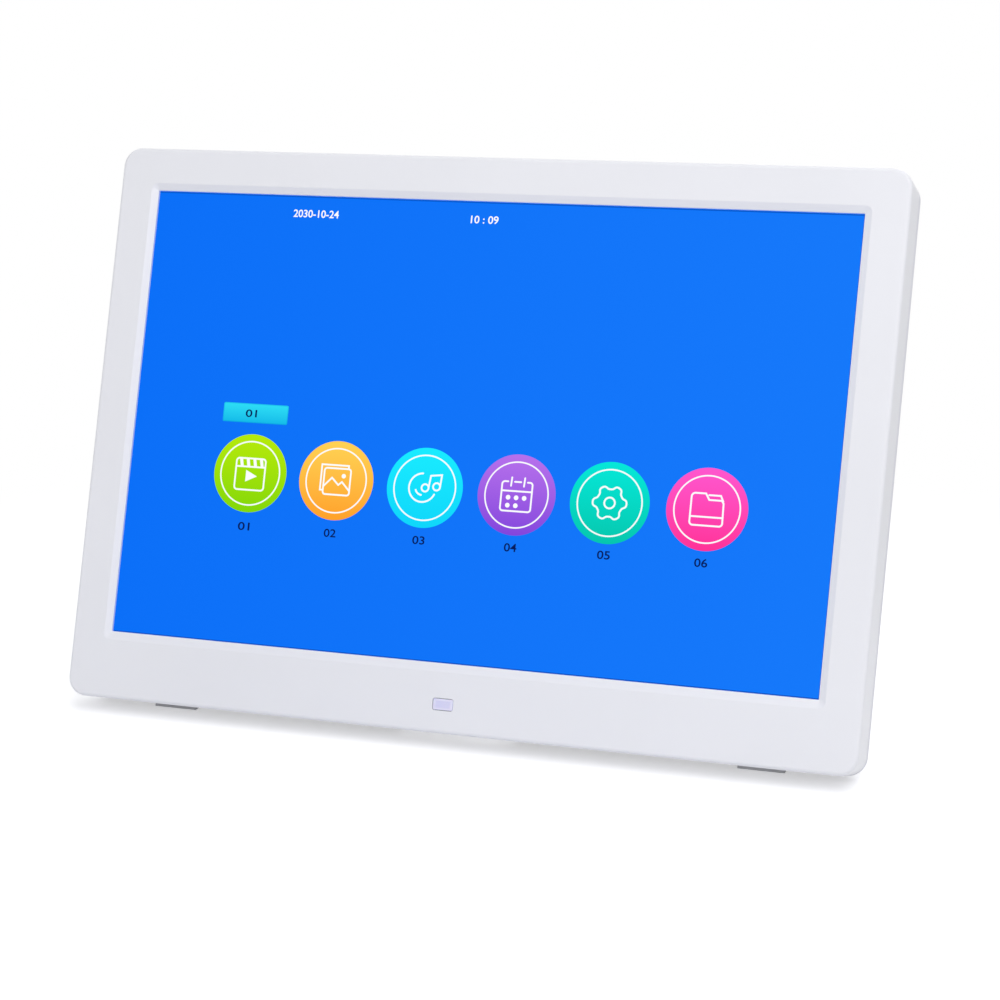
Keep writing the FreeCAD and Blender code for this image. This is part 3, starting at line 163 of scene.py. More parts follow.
table_mesh.materials.append(paper)


# ---------------------------------------------------------------- white mouldings
# The bezel, rear cover and leg are one white ABS: the front satin, the back finely spark-eroded.
def shader_group(name, inputs, outputs):
    """An empty node group with float inputs (name, value) and outputs (name, kind)."""
    group = bpy.data.node_groups.new(name, "ShaderNodeTree")
    for label, value in inputs:
        socket = group.interface.new_socket(label, in_out="INPUT", socket_type="NodeSocketFloat")
        socket.default_value = value
    for label, kind in outputs:
        group.interface.new_socket(label, in_out="OUTPUT", socket_type="NodeSocket" + kind)
    return group, group.nodes.new("NodeGroupInput"), group.nodes.new("NodeGroupOutput")


def calculate(tree, operation, *values):
    """A Math node whose inputs are sockets or plain numbers; gives its output."""
    node = tree.nodes.new("ShaderNodeMath")
    node.operation = operation
    for slot, value in zip(node.inputs, values):
        if isinstance(value, (int, float)):
            slot.default_value = value
        else:
            wire(tree, value, slot)
    return node.outputs[0]


def noise(tree, place, scale, detail):
    """A noise texture on a place, its scale a number or a socket; gives its 0 to 1 value."""
    node = tree.nodes.new("ShaderNodeTexNoise")
    node.inputs["Detail"].default_value = detail
    wire(tree, place, node.inputs["Vector"])
    if isinstance(scale, (int, float)):
        node.inputs["Scale"].default_value = scale
    else:
        wire(tree, scale, node.inputs["Scale"])
    return node.outputs["Fac"]


# Moulded grain: pits of 1/Fineness metres for the bump, and broad shading, mould flow and handling.
grain, given, result = shader_group("moulded_grain", [("Fineness", 1800.0), ("Patches", 14.0)],
                                    [("Height", "Float"), ("Shade", "Float"), ("Wear", "Float")])
place = grain.nodes.new("ShaderNodeTexCoord").outputs["Object"]
fine = noise(grain, place, given.outputs["Fineness"], 3.0)
pits = calculate(grain, "SMOOTH_MIN", fine, 0.62, 0.2)
wire(grain, pits, result.inputs["Height"])
wire(grain, noise(grain, place, given.outputs["Patches"], 2.0), result.inputs["Shade"])
smudge = noise(grain, place, calculate(grain, "MULTIPLY", given.outputs["Patches"], 4.0), 5.0)
wire(grain, calculate(grain, "SMOOTH_MAX", smudge, 0.5, 0.1), result.inputs["Wear"])


def finish(name, **values):
    """A material with one Principled shader, whose plain values are set by socket name."""
    made = bpy.data.materials.new(name)
    made.use_nodes = True
    shader = made.node_tree.nodes["Principled BSDF"]
    for label, value in values.items():
        shader.inputs[label.replace("_", " ")].default_value = value
    return made, made.node_tree, shader


def spread(tree, value, low, high):
    """A 0 to 1 value laid out between low and high."""
    node = tree.nodes.new("ShaderNodeMapRange")
    node.inputs["To Min"].default_value = low
    node.inputs["To Max"].default_value = high
    wire(tree, value, node.inputs["Value"])
    return node.outputs["Result"]


def blend_colours(tree, value, first, second):
    """A colour between first and second by a 0 to 1 value; each is a colour or a socket."""
    node = tree.nodes.new("ShaderNodeMix")
    node.data_type = "RGBA"
    wire(tree, value, node.inputs[0])
    for slot, colour in ((node.inputs[6], first), (node.inputs[7], second)):
        if isinstance(colour, tuple):
            slot.default_value = colour
        else:
            wire(tree, colour, slot)
    return node.outputs[2]


def relief(tree, shader, height, depth):
    """Feeds a height of 0 to 1, depth metres high, to the shader's normal."""
    node = tree.nodes.new("ShaderNodeBump")
    node.inputs["Strength"].default_value = 1.0
    node.inputs["Distance"].default_value = depth
    wire(tree, height, node.inputs["Height"])
    wire(tree, node.outputs["Normal"], shader.inputs["Normal"])


def moulding(name, dark, light, rough, smooth, fineness, depth, **values):
    """A moulded plastic: its colour drifts between dark and light, its gloss between rough and smooth."""
    made, tree, shader = finish(name, **values)
    skin = tree.nodes.new("ShaderNodeGroup")
    skin.node_tree = grain
    skin.inputs["Fineness"].default_value = fineness
    wire(tree, blend_colours(tree, skin.outputs["Shade"], dark, light), shader.inputs["Base Color"])
    wire(tree, spread(tree, skin.outputs["Wear"], smooth, rough), shader.inputs["Roughness"])
    relief(tree, shader, skin.outputs["Height"], depth)
    return made


def dress(material, *nodes):
    """Gives a material to CAD pieces."""
    for name in nodes:
        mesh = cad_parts[name].data
        mesh.materials.clear()
        mesh.materials.append(material)


satin_white = moulding("satin_white", linear(230, 230, 234), linear(236, 236, 240), 0.42, 0.34, 2200.0, 4e-6)
dress(satin_white, "front_bezel")
eroded_white = moulding("eroded_white", linear(224, 224, 231), linear(231, 231, 237), 0.62, 0.52, 1500.0, 1.6e-5)
dress(eroded_white, "rear_cover", "stand_leg")


# ---------------------------------------------------------------- display picture
# What the lit panel shows, just in front of its glass: a blue ground, a row of round buttons with
# line drawings, a bar above the first, plain figures. Drawn 1600 by 1000 steps, height upwards.
picture_w, picture_h, picture_z = 286.08, 178.8, 26.8


def on_screen(points, lift):
    """Points (across, up) in picture steps, put lift millimetres in front of the display glass."""
    across = (points[:, 0] / 1600 - 0.5) * picture_w
    up = points[:, 1] / 1000 * picture_h + picture_z
    return on_casing(across, 3.2 - lift, up)


def add_piece(name, points, faces, body, material, smooth=False):
    """A mesh piece from points in metres and a list of faces, riding on a body."""
    mesh = bpy.data.meshes.new(name)
    mesh.from_pydata(points.tolist(), [], faces)
    mesh.polygons.foreach_set("use_smooth", np.full(len(mesh.polygons), smooth))
    mesh.materials.append(material)
    made = bpy.data.objects.new(name, mesh)
    bpy.context.scene.collection.objects.link(made)
    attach(made, body)
    return made


def together(shapes):
    """Joins flat shapes, each (points, faces), into one."""
    starts = np.cumsum([0] + [len(points) for points, _ in shapes])
    faces = [tuple(int(i) + int(start) for i in face) for (_, shape_faces), start in zip(shapes, starts)
             for face in shape_faces]
    return np.concatenate([points for points, _ in shapes]), faces


def ring_of(x, y, radius, first=0.0, last=2 * math.pi, count=96, closed=True):
    """Points at equal angles from first to last on a circle."""
    angle = np.linspace(first, last, count, endpoint=not closed)
    return np.stack([x + radius * np.cos(angle), y + radius * np.sin(angle)], axis=1)


def soft_box(x0, y0, x1, y1, radius, count=10):
    """A rectangle whose corners are quarter circles, anticlockwise from the lower right corner."""
    corners = [(x1 - radius, y0 + radius, -0.5), (x1 - radius, y1 - radius, 0.0),
               (x0 + radius, y1 - radius, 0.5), (x0 + radius, y0 + radius, 1.0)]
    return np.concatenate([ring_of(x, y, radius, start * math.pi, (start + 0.5) * math.pi, count, False)
                           for x, y, start in corners])


def filled(outline):
    return outline, [tuple(range(len(outline)))]


def line(path, width, closed=False):
    """A line of even width: the path moved left and right along the mitre at each point, which is the
    sum of its two runs' normals divided by one plus their dot product; half discs round open ends."""
    path = np.asarray(path, float)
    run = np.roll(path, -1, axis=0) - path
    run /= np.maximum(np.linalg.norm(run, axis=1, keepdims=True), 1e-9)
    if not closed:
        run[-1] = run[-2]
    normal = np.stack([-run[:, 1], run[:, 0]], axis=1)
    before = np.roll(normal, 1, axis=0)
    if not closed:
        before[0] = normal[0]
    mitre = (normal + before) / (1 + np.sum(normal * before, axis=1, keepdims=True))
    points = np.concatenate([path + mitre * width / 2, path - mitre * width / 2])
    count = len(path)
    first = np.arange(count if closed else count - 1)
    second = (first + 1) % count
    shapes = [(points, np.stack([first + count, second + count, second, first], axis=1).tolist())]
    if not closed:
        for end, way in ((path[0], -run[0]), (path[-1], run[-1])):
            turn = math.atan2(way[1], way[0])
            shapes.append(filled(ring_of(*end, width / 2, turn - math.pi / 2, turn + math.pi / 2, 10, False)))
    return together(shapes)


def figures(text, x, y, height, width, weight=0.0):
    """Plain figures centred on (x, y), as flat faces, scaled to the given height and width."""
    curve = bpy.data.curves.new("figures", "FONT")
    curve.body, curve.offset, curve.resolution_u = text, weight, 6
    drawn = bpy.data.objects.new("figures", curve)
    mesh = bpy.data.meshes.new_from_object(drawn)
    points = np.zeros(3 * len(mesh.vertices))
    mesh.vertices.foreach_get("co", points)
    points = points.reshape(-1, 3)[:, :2]
    faces = [tuple(face.vertices) for face in mesh.polygons if face.normal.z > 0] or \
            [tuple(reversed(face.vertices)) for face in mesh.polygons]
    bpy.data.objects.remove(drawn)
    bpy.data.curves.remove(curve)
    bpy.data.meshes.remove(mesh)
    low, high = points.min(0), points.max(0)
    return (points - (low + high) / 2) / (high - low) * (width, height) + (x, y), faces


# Height up the picture, 0 at its bottom edge and 1 at its top, and the same from left to right.
picture_place, given, result = shader_group("picture_place", [], [("Across", "Float"), ("Up", "Float")])
place = picture_place.nodes.new("ShaderNodeTexCoord").outputs["Object"]
split = picture_place.nodes.new("ShaderNodeSeparateXYZ")
wire(picture_place, place, split.inputs[0])
wire(picture_place, calculate(picture_place, "MULTIPLY_ADD", split.outputs["X"], 1000 / picture_w, 0.5), result.inputs["Across"])
along = picture_place.nodes.new("ShaderNodeVectorMath")
along.operation = "DOT_PRODUCT"
along.inputs[1].default_value = (0, math.sin(lean), math.cos(lean))
wire(picture_place, place, along.inputs[0])
foot = float(np.dot(on_casing(0, 3.2, picture_z), (0, math.sin(lean), math.cos(lean))))
wire(picture_place, calculate(picture_place, "MULTIPLY_ADD", along.outputs["Value"], 1000 / picture_h, -foot * 1000 / picture_h),
     result.inputs["Up"])


def lit(name, low_colour, high_colour, low=0.0, high=1.0, way="Up"):
    """A lit part of the picture: it glows from low_colour at low to high_colour at high."""
    made, tree, shader = finish(name, Base_Color=(0.002, 0.002, 0.003, 1), Roughness=0.5,
                                Specular_IOR_Level=0.0, Emission_Strength=1.0)
    where = tree.nodes.new("ShaderNodeGroup")
    where.node_tree = picture_place
    share = tree.nodes.new("ShaderNodeMapRange")
    share.inputs["From Min"].default_value = low
    share.inputs["From Max"].default_value = high
    wire(tree, where.outputs[way], share.inputs["Value"])
    wire(tree, blend_colours(tree, share.outputs["Result"], low_colour, high_colour), shader.inputs["Emission Color"])
    return made


def on_picture(name, shapes, lift, material):
    points, faces = together(shapes)
    return add_piece(name, on_screen(points, lift), faces, "housing", material)


ground = soft_box(-6, -6, 1606, 1006, 1.0)
on_picture("picture_ground", [filled(ground)], 0.05, lit("lit_blue", linear(6, 111, 248), linear(18, 120, 250), 0.0, 1.0, "Across"))

disc_r, ring_r, stroke = 87.0, 70.5, 3.8
discs = [("video", 291, 377, (130, 215, 0), (182, 234, 2)), ("pictures", 496.5, 374.5, (255, 160, 38), (255, 210, 82)),
         ("sound", 703, 373, (10, 214, 250), (22, 236, 255)), ("calendar", 911.5, 372, (130, 68, 220), (182, 112, 236)),
         ("settings", 1118, 369.5, (0, 198, 172), (0, 232, 216)), ("folder", 1328, 371, (255, 48, 150), (255, 86, 206))]
for label, x, y, low_colour, high_colour in discs:
    glow = lit("lit_" + label, linear(*low_colour), linear(*high_colour), (y - disc_r) / 1000, (y + disc_r) / 1000)
    on_picture("button_" + label, [filled(ring_of(x, y, disc_r, count=144))], 0.1, glow)

bar = soft_box(211, 489, 367, 532, 4)
on_picture("picture_bar", [filled(bar)], 0.1, lit("lit_bar", linear(14, 186, 232), linear(44, 222, 246), 0.489, 0.532))
on_picture("bar_edge", [line(soft_box(212, 490, 366, 531, 4), 2.0, True)], 0.13,
           lit("lit_bar_edge", linear(10, 166, 226), linear(30, 196, 232), 0.489, 0.532))


def clapper(x, y):
    """A film slate: a box with a striped bar on top and a solid triangle inside."""
    stripes = [line([(x + s, y + 17), (x + s - 3, y + 31)], 7) for s in (-21, -5, 11, 27)]
    triangle = np.array([(x - 10, y - 19), (x + 17, y - 6), (x - 10, y + 7)])
    return [line(soft_box(x - 35, y - 37, x + 35, y + 33, 7), stroke, True),
            line([(x - 34, y + 14.5), (x + 34, y + 14.5)], stroke), filled(triangle)] + stripes


def pictures(x, y):
    """Two stacked prints, the front one with hills and a sun."""
    back = [(x - 30, y - 22), (x - 36, y - 22), (x - 36, y + 34), (x + 27, y + 34), (x + 27, y + 28)]
    hills = [(x - 28, y - 13), (x - 10, y + 6), (x + 6, y - 9), (x + 14, y - 2), (x + 32, y - 20)]
    return [line(back, stroke), line(soft_box(x - 29, y - 31, x + 33, y + 27, 6), stroke, True),
            line(hills, stroke), filled(ring_of(x + 17, y + 11, 5, count=24))]


def music(x, y):
    """A record, drawn as two open arcs, with a pair of notes over its edge."""
    notes = [line(ring_of(x + 1, y + 0, 8, count=32), stroke, True), line(ring_of(x + 27, y + 4, 8, count=32), stroke, True),
             line([(x + 9, y + 1), (x + 12, y + 27), (x + 37, y + 30), (x + 35, y + 5)], stroke)]
    return [line(ring_of(x - 5, y + 0, 31, 1.62, 5.85, 60, False), stroke),
            line(ring_of(x - 5, y + 0, 16, 3.5, 4.6, 20, False), stroke)] + notes


def calendar(x, y):
    """A wall calendar: a headed page with a gap at each of its two rings, and a few days."""
    page = np.concatenate([[(x + 23, y + 28)], soft_box(x - 34, y - 35, x + 34, y + 28, 6)[19:9:-1],
                           soft_box(x - 34, y - 35, x + 34, y + 28, 6)[9::-1], soft_box(x - 34, y - 35, x + 34, y + 28, 6)[:29:-1],
                           soft_box(x - 34, y - 35, x + 34, y + 28, 6)[29:19:-1], [(x - 21, y + 28)]])
    days = [filled(ring_of(x + dx, y + dy, 5.2, count=24)) for dx, dy in ((-18, -6), (0, -6), (18, -6), (-18, -23), (0, -23))]
    return [line(page, stroke), line([(x - 33, y + 8), (x + 33, y + 8)], stroke), line([(x - 6, y + 28), (x + 8, y + 28)], stroke),
            line([(x - 14, y + 19), (x - 13, y + 37)], stroke), line([(x + 15, y + 19), (x + 16, y + 37)], stroke)] + days


def gear(x, y):
    """A cog: its radius swings between 29 and 37 as a softened wave with six crests, round a hub."""
    angle = np.linspace(0, 2 * math.pi, 192, endpoint=False)
    radius = 33 + 4 * np.tanh(1.6 * np.cos(6 * angle)) / math.tanh(1.6)
    outline = np.stack([x + radius * np.cos(angle), y + radius * np.sin(angle)], axis=1)
    return [line(outline, stroke, True), line(ring_of(x, y, 11.5, count=48), stroke, True)]


def folder(x, y):
    """A card folder with rounded lower corners, its tab, a second card and a band near the bottom."""
    outline = np.concatenate([[(x + 34, y + 14)], ring_of(x + 28, y - 27, 7, 0.0, -math.pi / 2, 8, False),
                              ring_of(x - 28, y - 27, 7, -math.pi / 2, -math.pi, 8, False),
                              ring_of(x - 27, y + 25, 8, math.pi, math.pi / 2, 8, False)])
    tab = [(x - 27, y + 33), (x - 5, y + 33), (x + 3, y + 20), (x + 30, y + 20), (x + 34, y + 14)]
    return [line(outline, stroke), line(tab, stroke), line([(x + 2, y + 30), (x + 27, y + 30), (x + 33, y + 18)], stroke),
            line([(x - 34, y - 16), (x + 34, y - 16)], stroke)]


drawings = [clapper, pictures, music, calendar, gear, folder]
white_lines = [line(ring_of(x, y, ring_r, count=144), 3.2, True) for _, x, y, _, _ in discs]
for draw, (_, x, y, _, _) in zip(drawings, discs):
    white_lines += draw(x, y)
lit_white = lit("lit_white", linear(250, 253, 255), linear(255, 255, 255))
on_picture("picture_lines", white_lines, 0.15, lit_white)
on_picture("picture_figures", [figures("2030-10-24", 384, 961, 17, 108, 0.014), figures("10 : 09", 777.5, 961, 17, 63, 0.014)],
           0.15, lit_white)
dark_figures = [figures("0%d" % (i + 1), x - 2, 259, 18, 28, 0.012) for i, (_, x, *_) in enumerate(discs)]
dark_figures.append(figures("01", 279, 510, 17, 27, 0.012))
on_picture("button_figures", dark_figures, 0.15, lit("lit_navy", linear(4, 26, 92), linear(2, 22, 84)))

# The panel's dark mask edge, with painted shade of the gap under the bezel's lip, shows as a dark hairline along the
# picture's top, right and bottom edges.
on_picture("mask_and_lip_shade_hairline", [line([(0, 998.4), (1598.4, 998.4), (1598.4, 1.6), (0, 1.6)], 2.6)], 0.12,
           lit("lit_mask_and_lip_shade", linear(4, 84, 196), linear(6, 88, 202)))


# ---------------------------------------------------------------- display layers
# The lit panel lies in a thin steel frame behind a foam gasket. Behind its glass come two diffusing
# films, the light guide with a row of lamps along its top, and a folded sheet-steel tray.
def cellular(tree, place, scale, feature="F1"):
    """A cell pattern on a place; gives the distance to the nearest cell middle or edge."""
    node = tree.nodes.new("ShaderNodeTexVoronoi")
    node.feature = feature
    node.inputs["Scale"].default_value = scale
    wire(tree, place, node.inputs["Vector"])
    return node.outputs["Distance"]


# Sheet metal: rolling lines of 1/Lines metres along the sheet's length, and a slow blotchy tarnish.
sheet_metal, given, result = shader_group("sheet_metal", [("Lines", 900.0), ("Blotches", 40.0)],
                                          [("Height", "Float"), ("Tarnish", "Float")])
place = sheet_metal.nodes.new("ShaderNodeTexCoord").outputs["Object"]
along = sheet_metal.nodes.new("ShaderNodeMapping")
along.inputs["Scale"].default_value = (0.03, 1.0, 1.0)
wire(sheet_metal, place, along.inputs["Vector"])
wire(sheet_metal, noise(sheet_metal, along.outputs["Vector"], given.outputs["Lines"], 2.0), result.inputs["Height"])
wire(sheet_metal, noise(sheet_metal, place, given.outputs["Blotches"], 4.0), result.inputs["Tarnish"])


def metal(name, dark, light, rough, smooth, lines=900.0, blotches=40.0, depth=3e-6):
    """A plated or bare metal sheet with rolling lines, its colour and gloss drifting with the tarnish."""
    made, tree, shader = finish(name, Metallic=1.0)
    skin = tree.nodes.new("ShaderNodeGroup")
    skin.node_tree = sheet_metal
    skin.inputs["Lines"].default_value = lines
    skin.inputs["Blotches"].default_value = blotches
    wire(tree, blend_colours(tree, skin.outputs["Tarnish"], dark, light), shader.inputs["Base Color"])
    wire(tree, spread(tree, skin.outputs["Tarnish"], rough, smooth), shader.inputs["Roughness"])
    relief(tree, shader, skin.outputs["Height"], depth)
    return made


dress(moulding("panel_glass", linear(6, 10, 20), linear(9, 14, 28), 0.22, 0.14, 600.0, 0.0), "display_glass")
foam, tree, shader = finish("gasket_foam", Roughness=0.92)
place = tree.nodes.new("ShaderNodeTexCoord").outputs["Object"]
cells = cellular(tree, place, 2600.0)
wire(tree, blend_colours(tree, cells, linear(28, 28, 30), linear(52, 52, 55)), shader.inputs["Base Color"])
relief(tree, shader, cells, 6e-5)
dress(foam, "screen_gasket")
dress(metal("bright_steel", linear(150, 152, 156), linear(188, 190, 193), 0.38, 0.24), "display_frame", "display_clips")
dress(moulding("diffusing_film", linear(226, 228, 232), linear(240, 241, 244), 0.3, 0.2, 3000.0, 2e-6), "optical_films")
dress(moulding("guide_acrylic", linear(214, 226, 232), linear(228, 238, 242), 0.12, 0.06, 900.0, 4e-6), "light_guide")
dress(metal("tray_sheet", linear(158, 160, 163), linear(196, 198, 201), 0.46, 0.3, 700.0, 25.0), "backlight_tray")


# ---------------------------------------------------------------- remote control window
# A milky polycarbonate window with a soft edge, clipped into the bezel below the picture; the receiver behind it shows
# faintly as a darker oblong of painted shade in the window's colour.
def carried(outline, insets, depths, place, back=True):
    """A closed shape: an outline function of inset and corner loss gives one ring of points for each
    profile station, the rings stand at the profile's depths and are joined, and both ends are closed."""
    rings = [outline(inset) for inset in insets]
    count = len(rings[0])
    points = np.concatenate([place(ring, depth) for ring, depth in zip(rings, depths)])
    near = np.arange(count)
    side = (near + 1) % count
    first = (np.arange(len(rings) - 1) * count)[:, None]
    walls = np.stack([first + near, first + side, first + count + side, first + count + near], axis=-1).reshape(-1, 4)
    faces = walls.tolist() + [tuple((len(rings) - 1) * count + near)]
    if back:
        faces.append(tuple(near[::-1]))
    return points, faces


window_w, window_h, window_z = 8.1, 4.4, 11.1


def window_outline(inset):
    """The window's rounded oblong, drawn in by inset."""
    return soft_box(inset - window_w / 2, window_z + inset - window_h / 2, window_w / 2 - inset,
                    window_z + window_h / 2 - inset, max(0.7 - inset, 0.12), 8)


turn = np.linspace(0, math.pi / 2, 6)
insets = np.concatenate([[0.0], 0.35 * (1 - np.cos(turn)), [0.6, 0.9]])
depths = np.concatenate([[2.6], 0.42 - 0.32 * np.sin(turn), [0.07, 0.06]])
points, faces = carried(window_outline, insets, depths, lambda ring, depth: on_casing(ring[:, 0], depth, ring[:, 1]))
milk, tree, shader = finish("milky_window", Roughness=0.28, Coat_Weight=0.25, Subsurface_Weight=0.15, Subsurface_Scale=0.002)
place = tree.nodes.new("ShaderNodeTexCoord").outputs["Object"]
centred = tree.nodes.new("ShaderNodeMapping")
centred.vector_type = "TEXTURE"
centred.inputs["Location"].default_value = on_casing(0, 0.1, window_z)
centred.inputs["Rotation"].default_value = (-lean, 0, 0)
wire(tree, place, centred.inputs["Vector"])
split = tree.nodes.new("ShaderNodeSeparateXYZ")
wire(tree, centred.outputs["Vector"], split.inputs[0])
across = calculate(tree, "DIVIDE", calculate(tree, "ABSOLUTE", split.outputs["X"]), 0.0029)
upward = calculate(tree, "DIVIDE", calculate(tree, "ABSOLUTE", split.outputs["Z"]), 0.00135)
# Painted shade: the window's colour darkens over an oblong where the receiver sits behind it.
receiver_shade = tree.nodes.new("ShaderNodeMapRange")
receiver_shade.inputs["From Min"].default_value = 1.15
receiver_shade.inputs["From Max"].default_value = 0.9
wire(tree, calculate(tree, "MAXIMUM", across, upward), receiver_shade.inputs["Value"])
cloud = noise(tree, place, 500.0, 3.0)
clear = blend_colours(tree, cloud, linear(226, 223, 246), linear(233, 230, 250))
wire(tree, blend_colours(tree, receiver_shade.outputs["Result"], clear, linear(216, 214, 243)), shader.inputs["Base Color"])
relief(tree, shader, cloud, 4e-6)
window = add_piece("window_lens", points, faces, "housing", milk, True)
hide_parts("ir_window")
dress(milk, "ir_window")


# ---------------------------------------------------------------- feet and pads
# White silicone pads under the casing's rear edge and the leg's end, matt and slightly dusty.
dust, given, result = shader_group("settled_dust", [("Size", 240.0), ("Amount", 0.4)], [("Mask", "Float")])
specks = noise(dust, dust.nodes.new("ShaderNodeTexCoord").outputs["Object"], given.outputs["Size"], 6.0)
over = calculate(dust, "SUBTRACT", specks, 0.52)
wire(dust, calculate(dust, "MULTIPLY", calculate(dust, "MAXIMUM", calculate(dust, "MULTIPLY", over, 6.0), 0.0),
                     given.outputs["Amount"]), result.inputs["Mask"])


def rubber(name, dark, light, specks):
    """A soft rubber with fine grain and settled dust."""
    made, tree, shader = finish(name, Specular_IOR_Level=0.3)
    skin, film = tree.nodes.new("ShaderNodeGroup"), tree.nodes.new("ShaderNodeGroup")
    skin.node_tree, film.node_tree = grain, dust
    skin.inputs["Fineness"].default_value = 1100.0
    film.inputs["Amount"].default_value = specks
    body = blend_colours(tree, skin.outputs["Shade"], dark, light)
    wire(tree, blend_colours(tree, film.outputs["Mask"], body, linear(196, 192, 186)), shader.inputs["Base Color"])
    wire(tree, spread(tree, film.outputs["Mask"], 0.66, 0.9), shader.inputs["Roughness"])
    relief(tree, shader, skin.outputs["Height"], 2.5e-5)
    return made


dress(rubber("white_silicone", linear(205, 205, 208), linear(216, 216, 219), 0.3), "foot_pads", "stand_foot_pad")


# ---------------------------------------------------------------- side sockets
# A pale grey ABS insert fills the left side's notch. Through it stand the card slot, a USB socket,
# a headphone socket, the mains adapter's socket and the power slider, soldered to the main board.
dress(moulding("grey_insert", linear(188, 188, 196), linear(197, 197, 205), 0.5, 0.42, 1700.0, 1e-5), "port_panel")
dress(metal("tinned_steel", linear(168, 170, 172), linear(205, 206, 206), 0.34, 0.2, 1200.0, 90.0), "card_socket", "usb_socket")
dress(moulding("black_nylon", linear(20, 20, 22), linear(31, 31, 34), 0.5, 0.38, 1500.0, 1e-5), "usb_tongue", "headphone_jack",
      "dc_jack", "power_switch_body", "tact_switches")
dress(metal("nickel_plate", linear(190, 186, 176), linear(222, 218, 208), 0.26, 0.14, 600.0, 120.0), "dc_jack_pin")
dress(moulding("dark_slider", linear(50, 50, 54), linear(64, 64, 69), 0.5, 0.42, 1500.0, 1e-5), "power_slider")


# ---------------------------------------------------------------- keys
# Seven round white caps in a row on the back, polished a little by fingers.
dress(moulding("key_cap_white", linear(224, 224, 231), linear(234, 234, 240), 0.36, 0.24, 1900.0, 4e-6), "power_key", "menu_key",
      "left_key", "up_key", "down_key", "right_key", "enter_key")


def on_key(shape, key_x, key_z, scale=1.0):
    """A flat shape drawn in tenths of a millimetre on a key's face, as seen from behind the casing."""
    points, faces = shape
    return on_casing(key_x - points[:, 0] * scale / 10, 25.806, key_z + points[:, 1] * scale / 10), faces


power_mark = together([line(ring_of(0, 0, 13, 2.2, 2.2 + 5.02, 40, False), 3.4), line([(0, 3), (0, 16)], 3.4)])
menu_mark = together([line([(-12, s), (12, s)], 3.4) for s in (-9, 0, 9)])
enter_mark = together([line(ring_of(0, 0, 12, count=48), 3.4, True), filled(ring_of(0, 0, 4, count=24))])
arrow = np.array([(-8.0, -11.0), (11.0, 0.0), (-8.0, 11.0)])


def turned_arrow(degrees):
    """The solid arrow turned by an angle."""
    angle = math.radians(degrees)
    spin = np.array([[math.cos(angle), math.sin(angle)], [-math.sin(angle), math.cos(angle)]])
    return arrow @ spin, [(0, 1, 2)]


ink, tree, shader = finish("grey_key_ink", Roughness=0.55)
place = tree.nodes.new("ShaderNodeTexCoord").outputs["Object"]
wire(tree, blend_colours(tree, noise(tree, place, 3000.0, 3.0), linear(112, 114, 122), linear(132, 134, 141)),
     shader.inputs["Base Color"])
marks = {"power": power_mark, "menu": menu_mark, "left": turned_arrow(180), "up": turned_arrow(90), "down": turned_arrow(-90),
         "right": turned_arrow(0), "enter": enter_mark}
for key, mark in marks.items():
    low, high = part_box(key + "_key")
    points, faces = on_key(mark, 500 * (low.x + high.x), 193.6)
    add_piece(key + "_mark", points, faces, key + "_key", ink)


# ---------------------------------------------------------------- screws, hangers and hinge
# Zinc-plated self-tapping screws, stamped keyhole plates, a bright turned hinge pin, spring washers.
dress(metal("zinc_plate", linear(150, 154, 162), linear(198, 200, 205), 0.4, 0.22, 1500.0, 160.0), "case_screws", "board_screws",
      "hinge_washers")
dress(metal("stamped_steel", linear(140, 143, 148), linear(182, 184, 188), 0.44, 0.28, 800.0, 60.0), "hanger_plates")
dress(metal("turned_steel", linear(170, 172, 176), linear(208, 210, 213), 0.28, 0.16, 2500.0, 80.0), "stand_pin")


# ---------------------------------------------------------------- boards
# Printed boards: solder mask over copper tracks that show as a slightly raised, lighter pattern.
tracks, given, result = shader_group("board_tracks", [("Pitch", 700.0)], [("Copper", "Float"), ("Height", "Float")])
place = tracks.nodes.new("ShaderNodeTexCoord").outputs["Object"]
flat = tracks.nodes.new("ShaderNodeMapping")
flat.inputs["Rotation"].default_value = (-lean, 0, 0)
flat.inputs["Scale"].default_value = (1, 0, 1)
wire(tracks, place, flat.inputs["Vector"])
near = tracks.nodes.new("ShaderNodeTexVoronoi")
near.distance = "CHEBYCHEV"
near.feature = "F1"
wire(tracks, flat.outputs["Vector"], near.inputs["Vector"])
wire(tracks, given.outputs["Pitch"], near.inputs["Scale"])
rings = calculate(tracks, "PINGPONG", near.outputs["Distance"], 0.16)
lines = calculate(tracks, "GREATER_THAN", rings, 0.09)
wire(tracks, lines, result.inputs["Copper"])
wire(tracks, lines, result.inputs["Height"])


def board(name, mask, over_copper):
    """A printed board: the solder mask is lighter and slightly raised over its copper."""
    made, tree, shader = finish(name, Roughness=0.34, Coat_Weight=0.2)
    copper = tree.nodes.new("ShaderNodeGroup")
    copper.node_tree = tracks
    wire(tree, blend_colours(tree, copper.outputs["Copper"], mask, over_copper), shader.inputs["Base Color"])
    relief(tree, shader, copper.outputs["Height"], 3e-5)
    return made


dress(board("green_mask", linear(14, 74, 42), linear(28, 104, 60)), "main_board", "ir_board", "key_board")
dress(board("blue_mask", linear(16, 44, 96), linear(30, 66, 128)), "driver_board")
dress(moulding("chip_epoxy", linear(24, 24, 26), linear(36, 36, 38), 0.62, 0.5, 2600.0, 8e-6), "processor", "memory_chips", "ir_receiver")
dress(metal("black_anodising", linear(14, 14, 16), linear(26, 26, 28), 0.5, 0.36, 900.0, 60.0), "heat_sink")
dress(metal("can_aluminium", linear(176, 178, 182), linear(212, 213, 216), 0.3, 0.2, 700.0, 90.0), "power_capacitors")
dress(moulding("ferrite_grey", linear(58, 58, 60), linear(76, 76, 78), 0.72, 0.6, 2200.0, 2e-5), "power_inductors")
dress(metal("holder_spring", linear(180, 178, 170), linear(212, 208, 198), 0.32, 0.2, 700.0, 60.0), "cell_holder")
dress(metal("cell_steel", linear(176, 178, 182), linear(214, 215, 218), 0.24, 0.14, 1200.0, 50.0), "clock_cell")
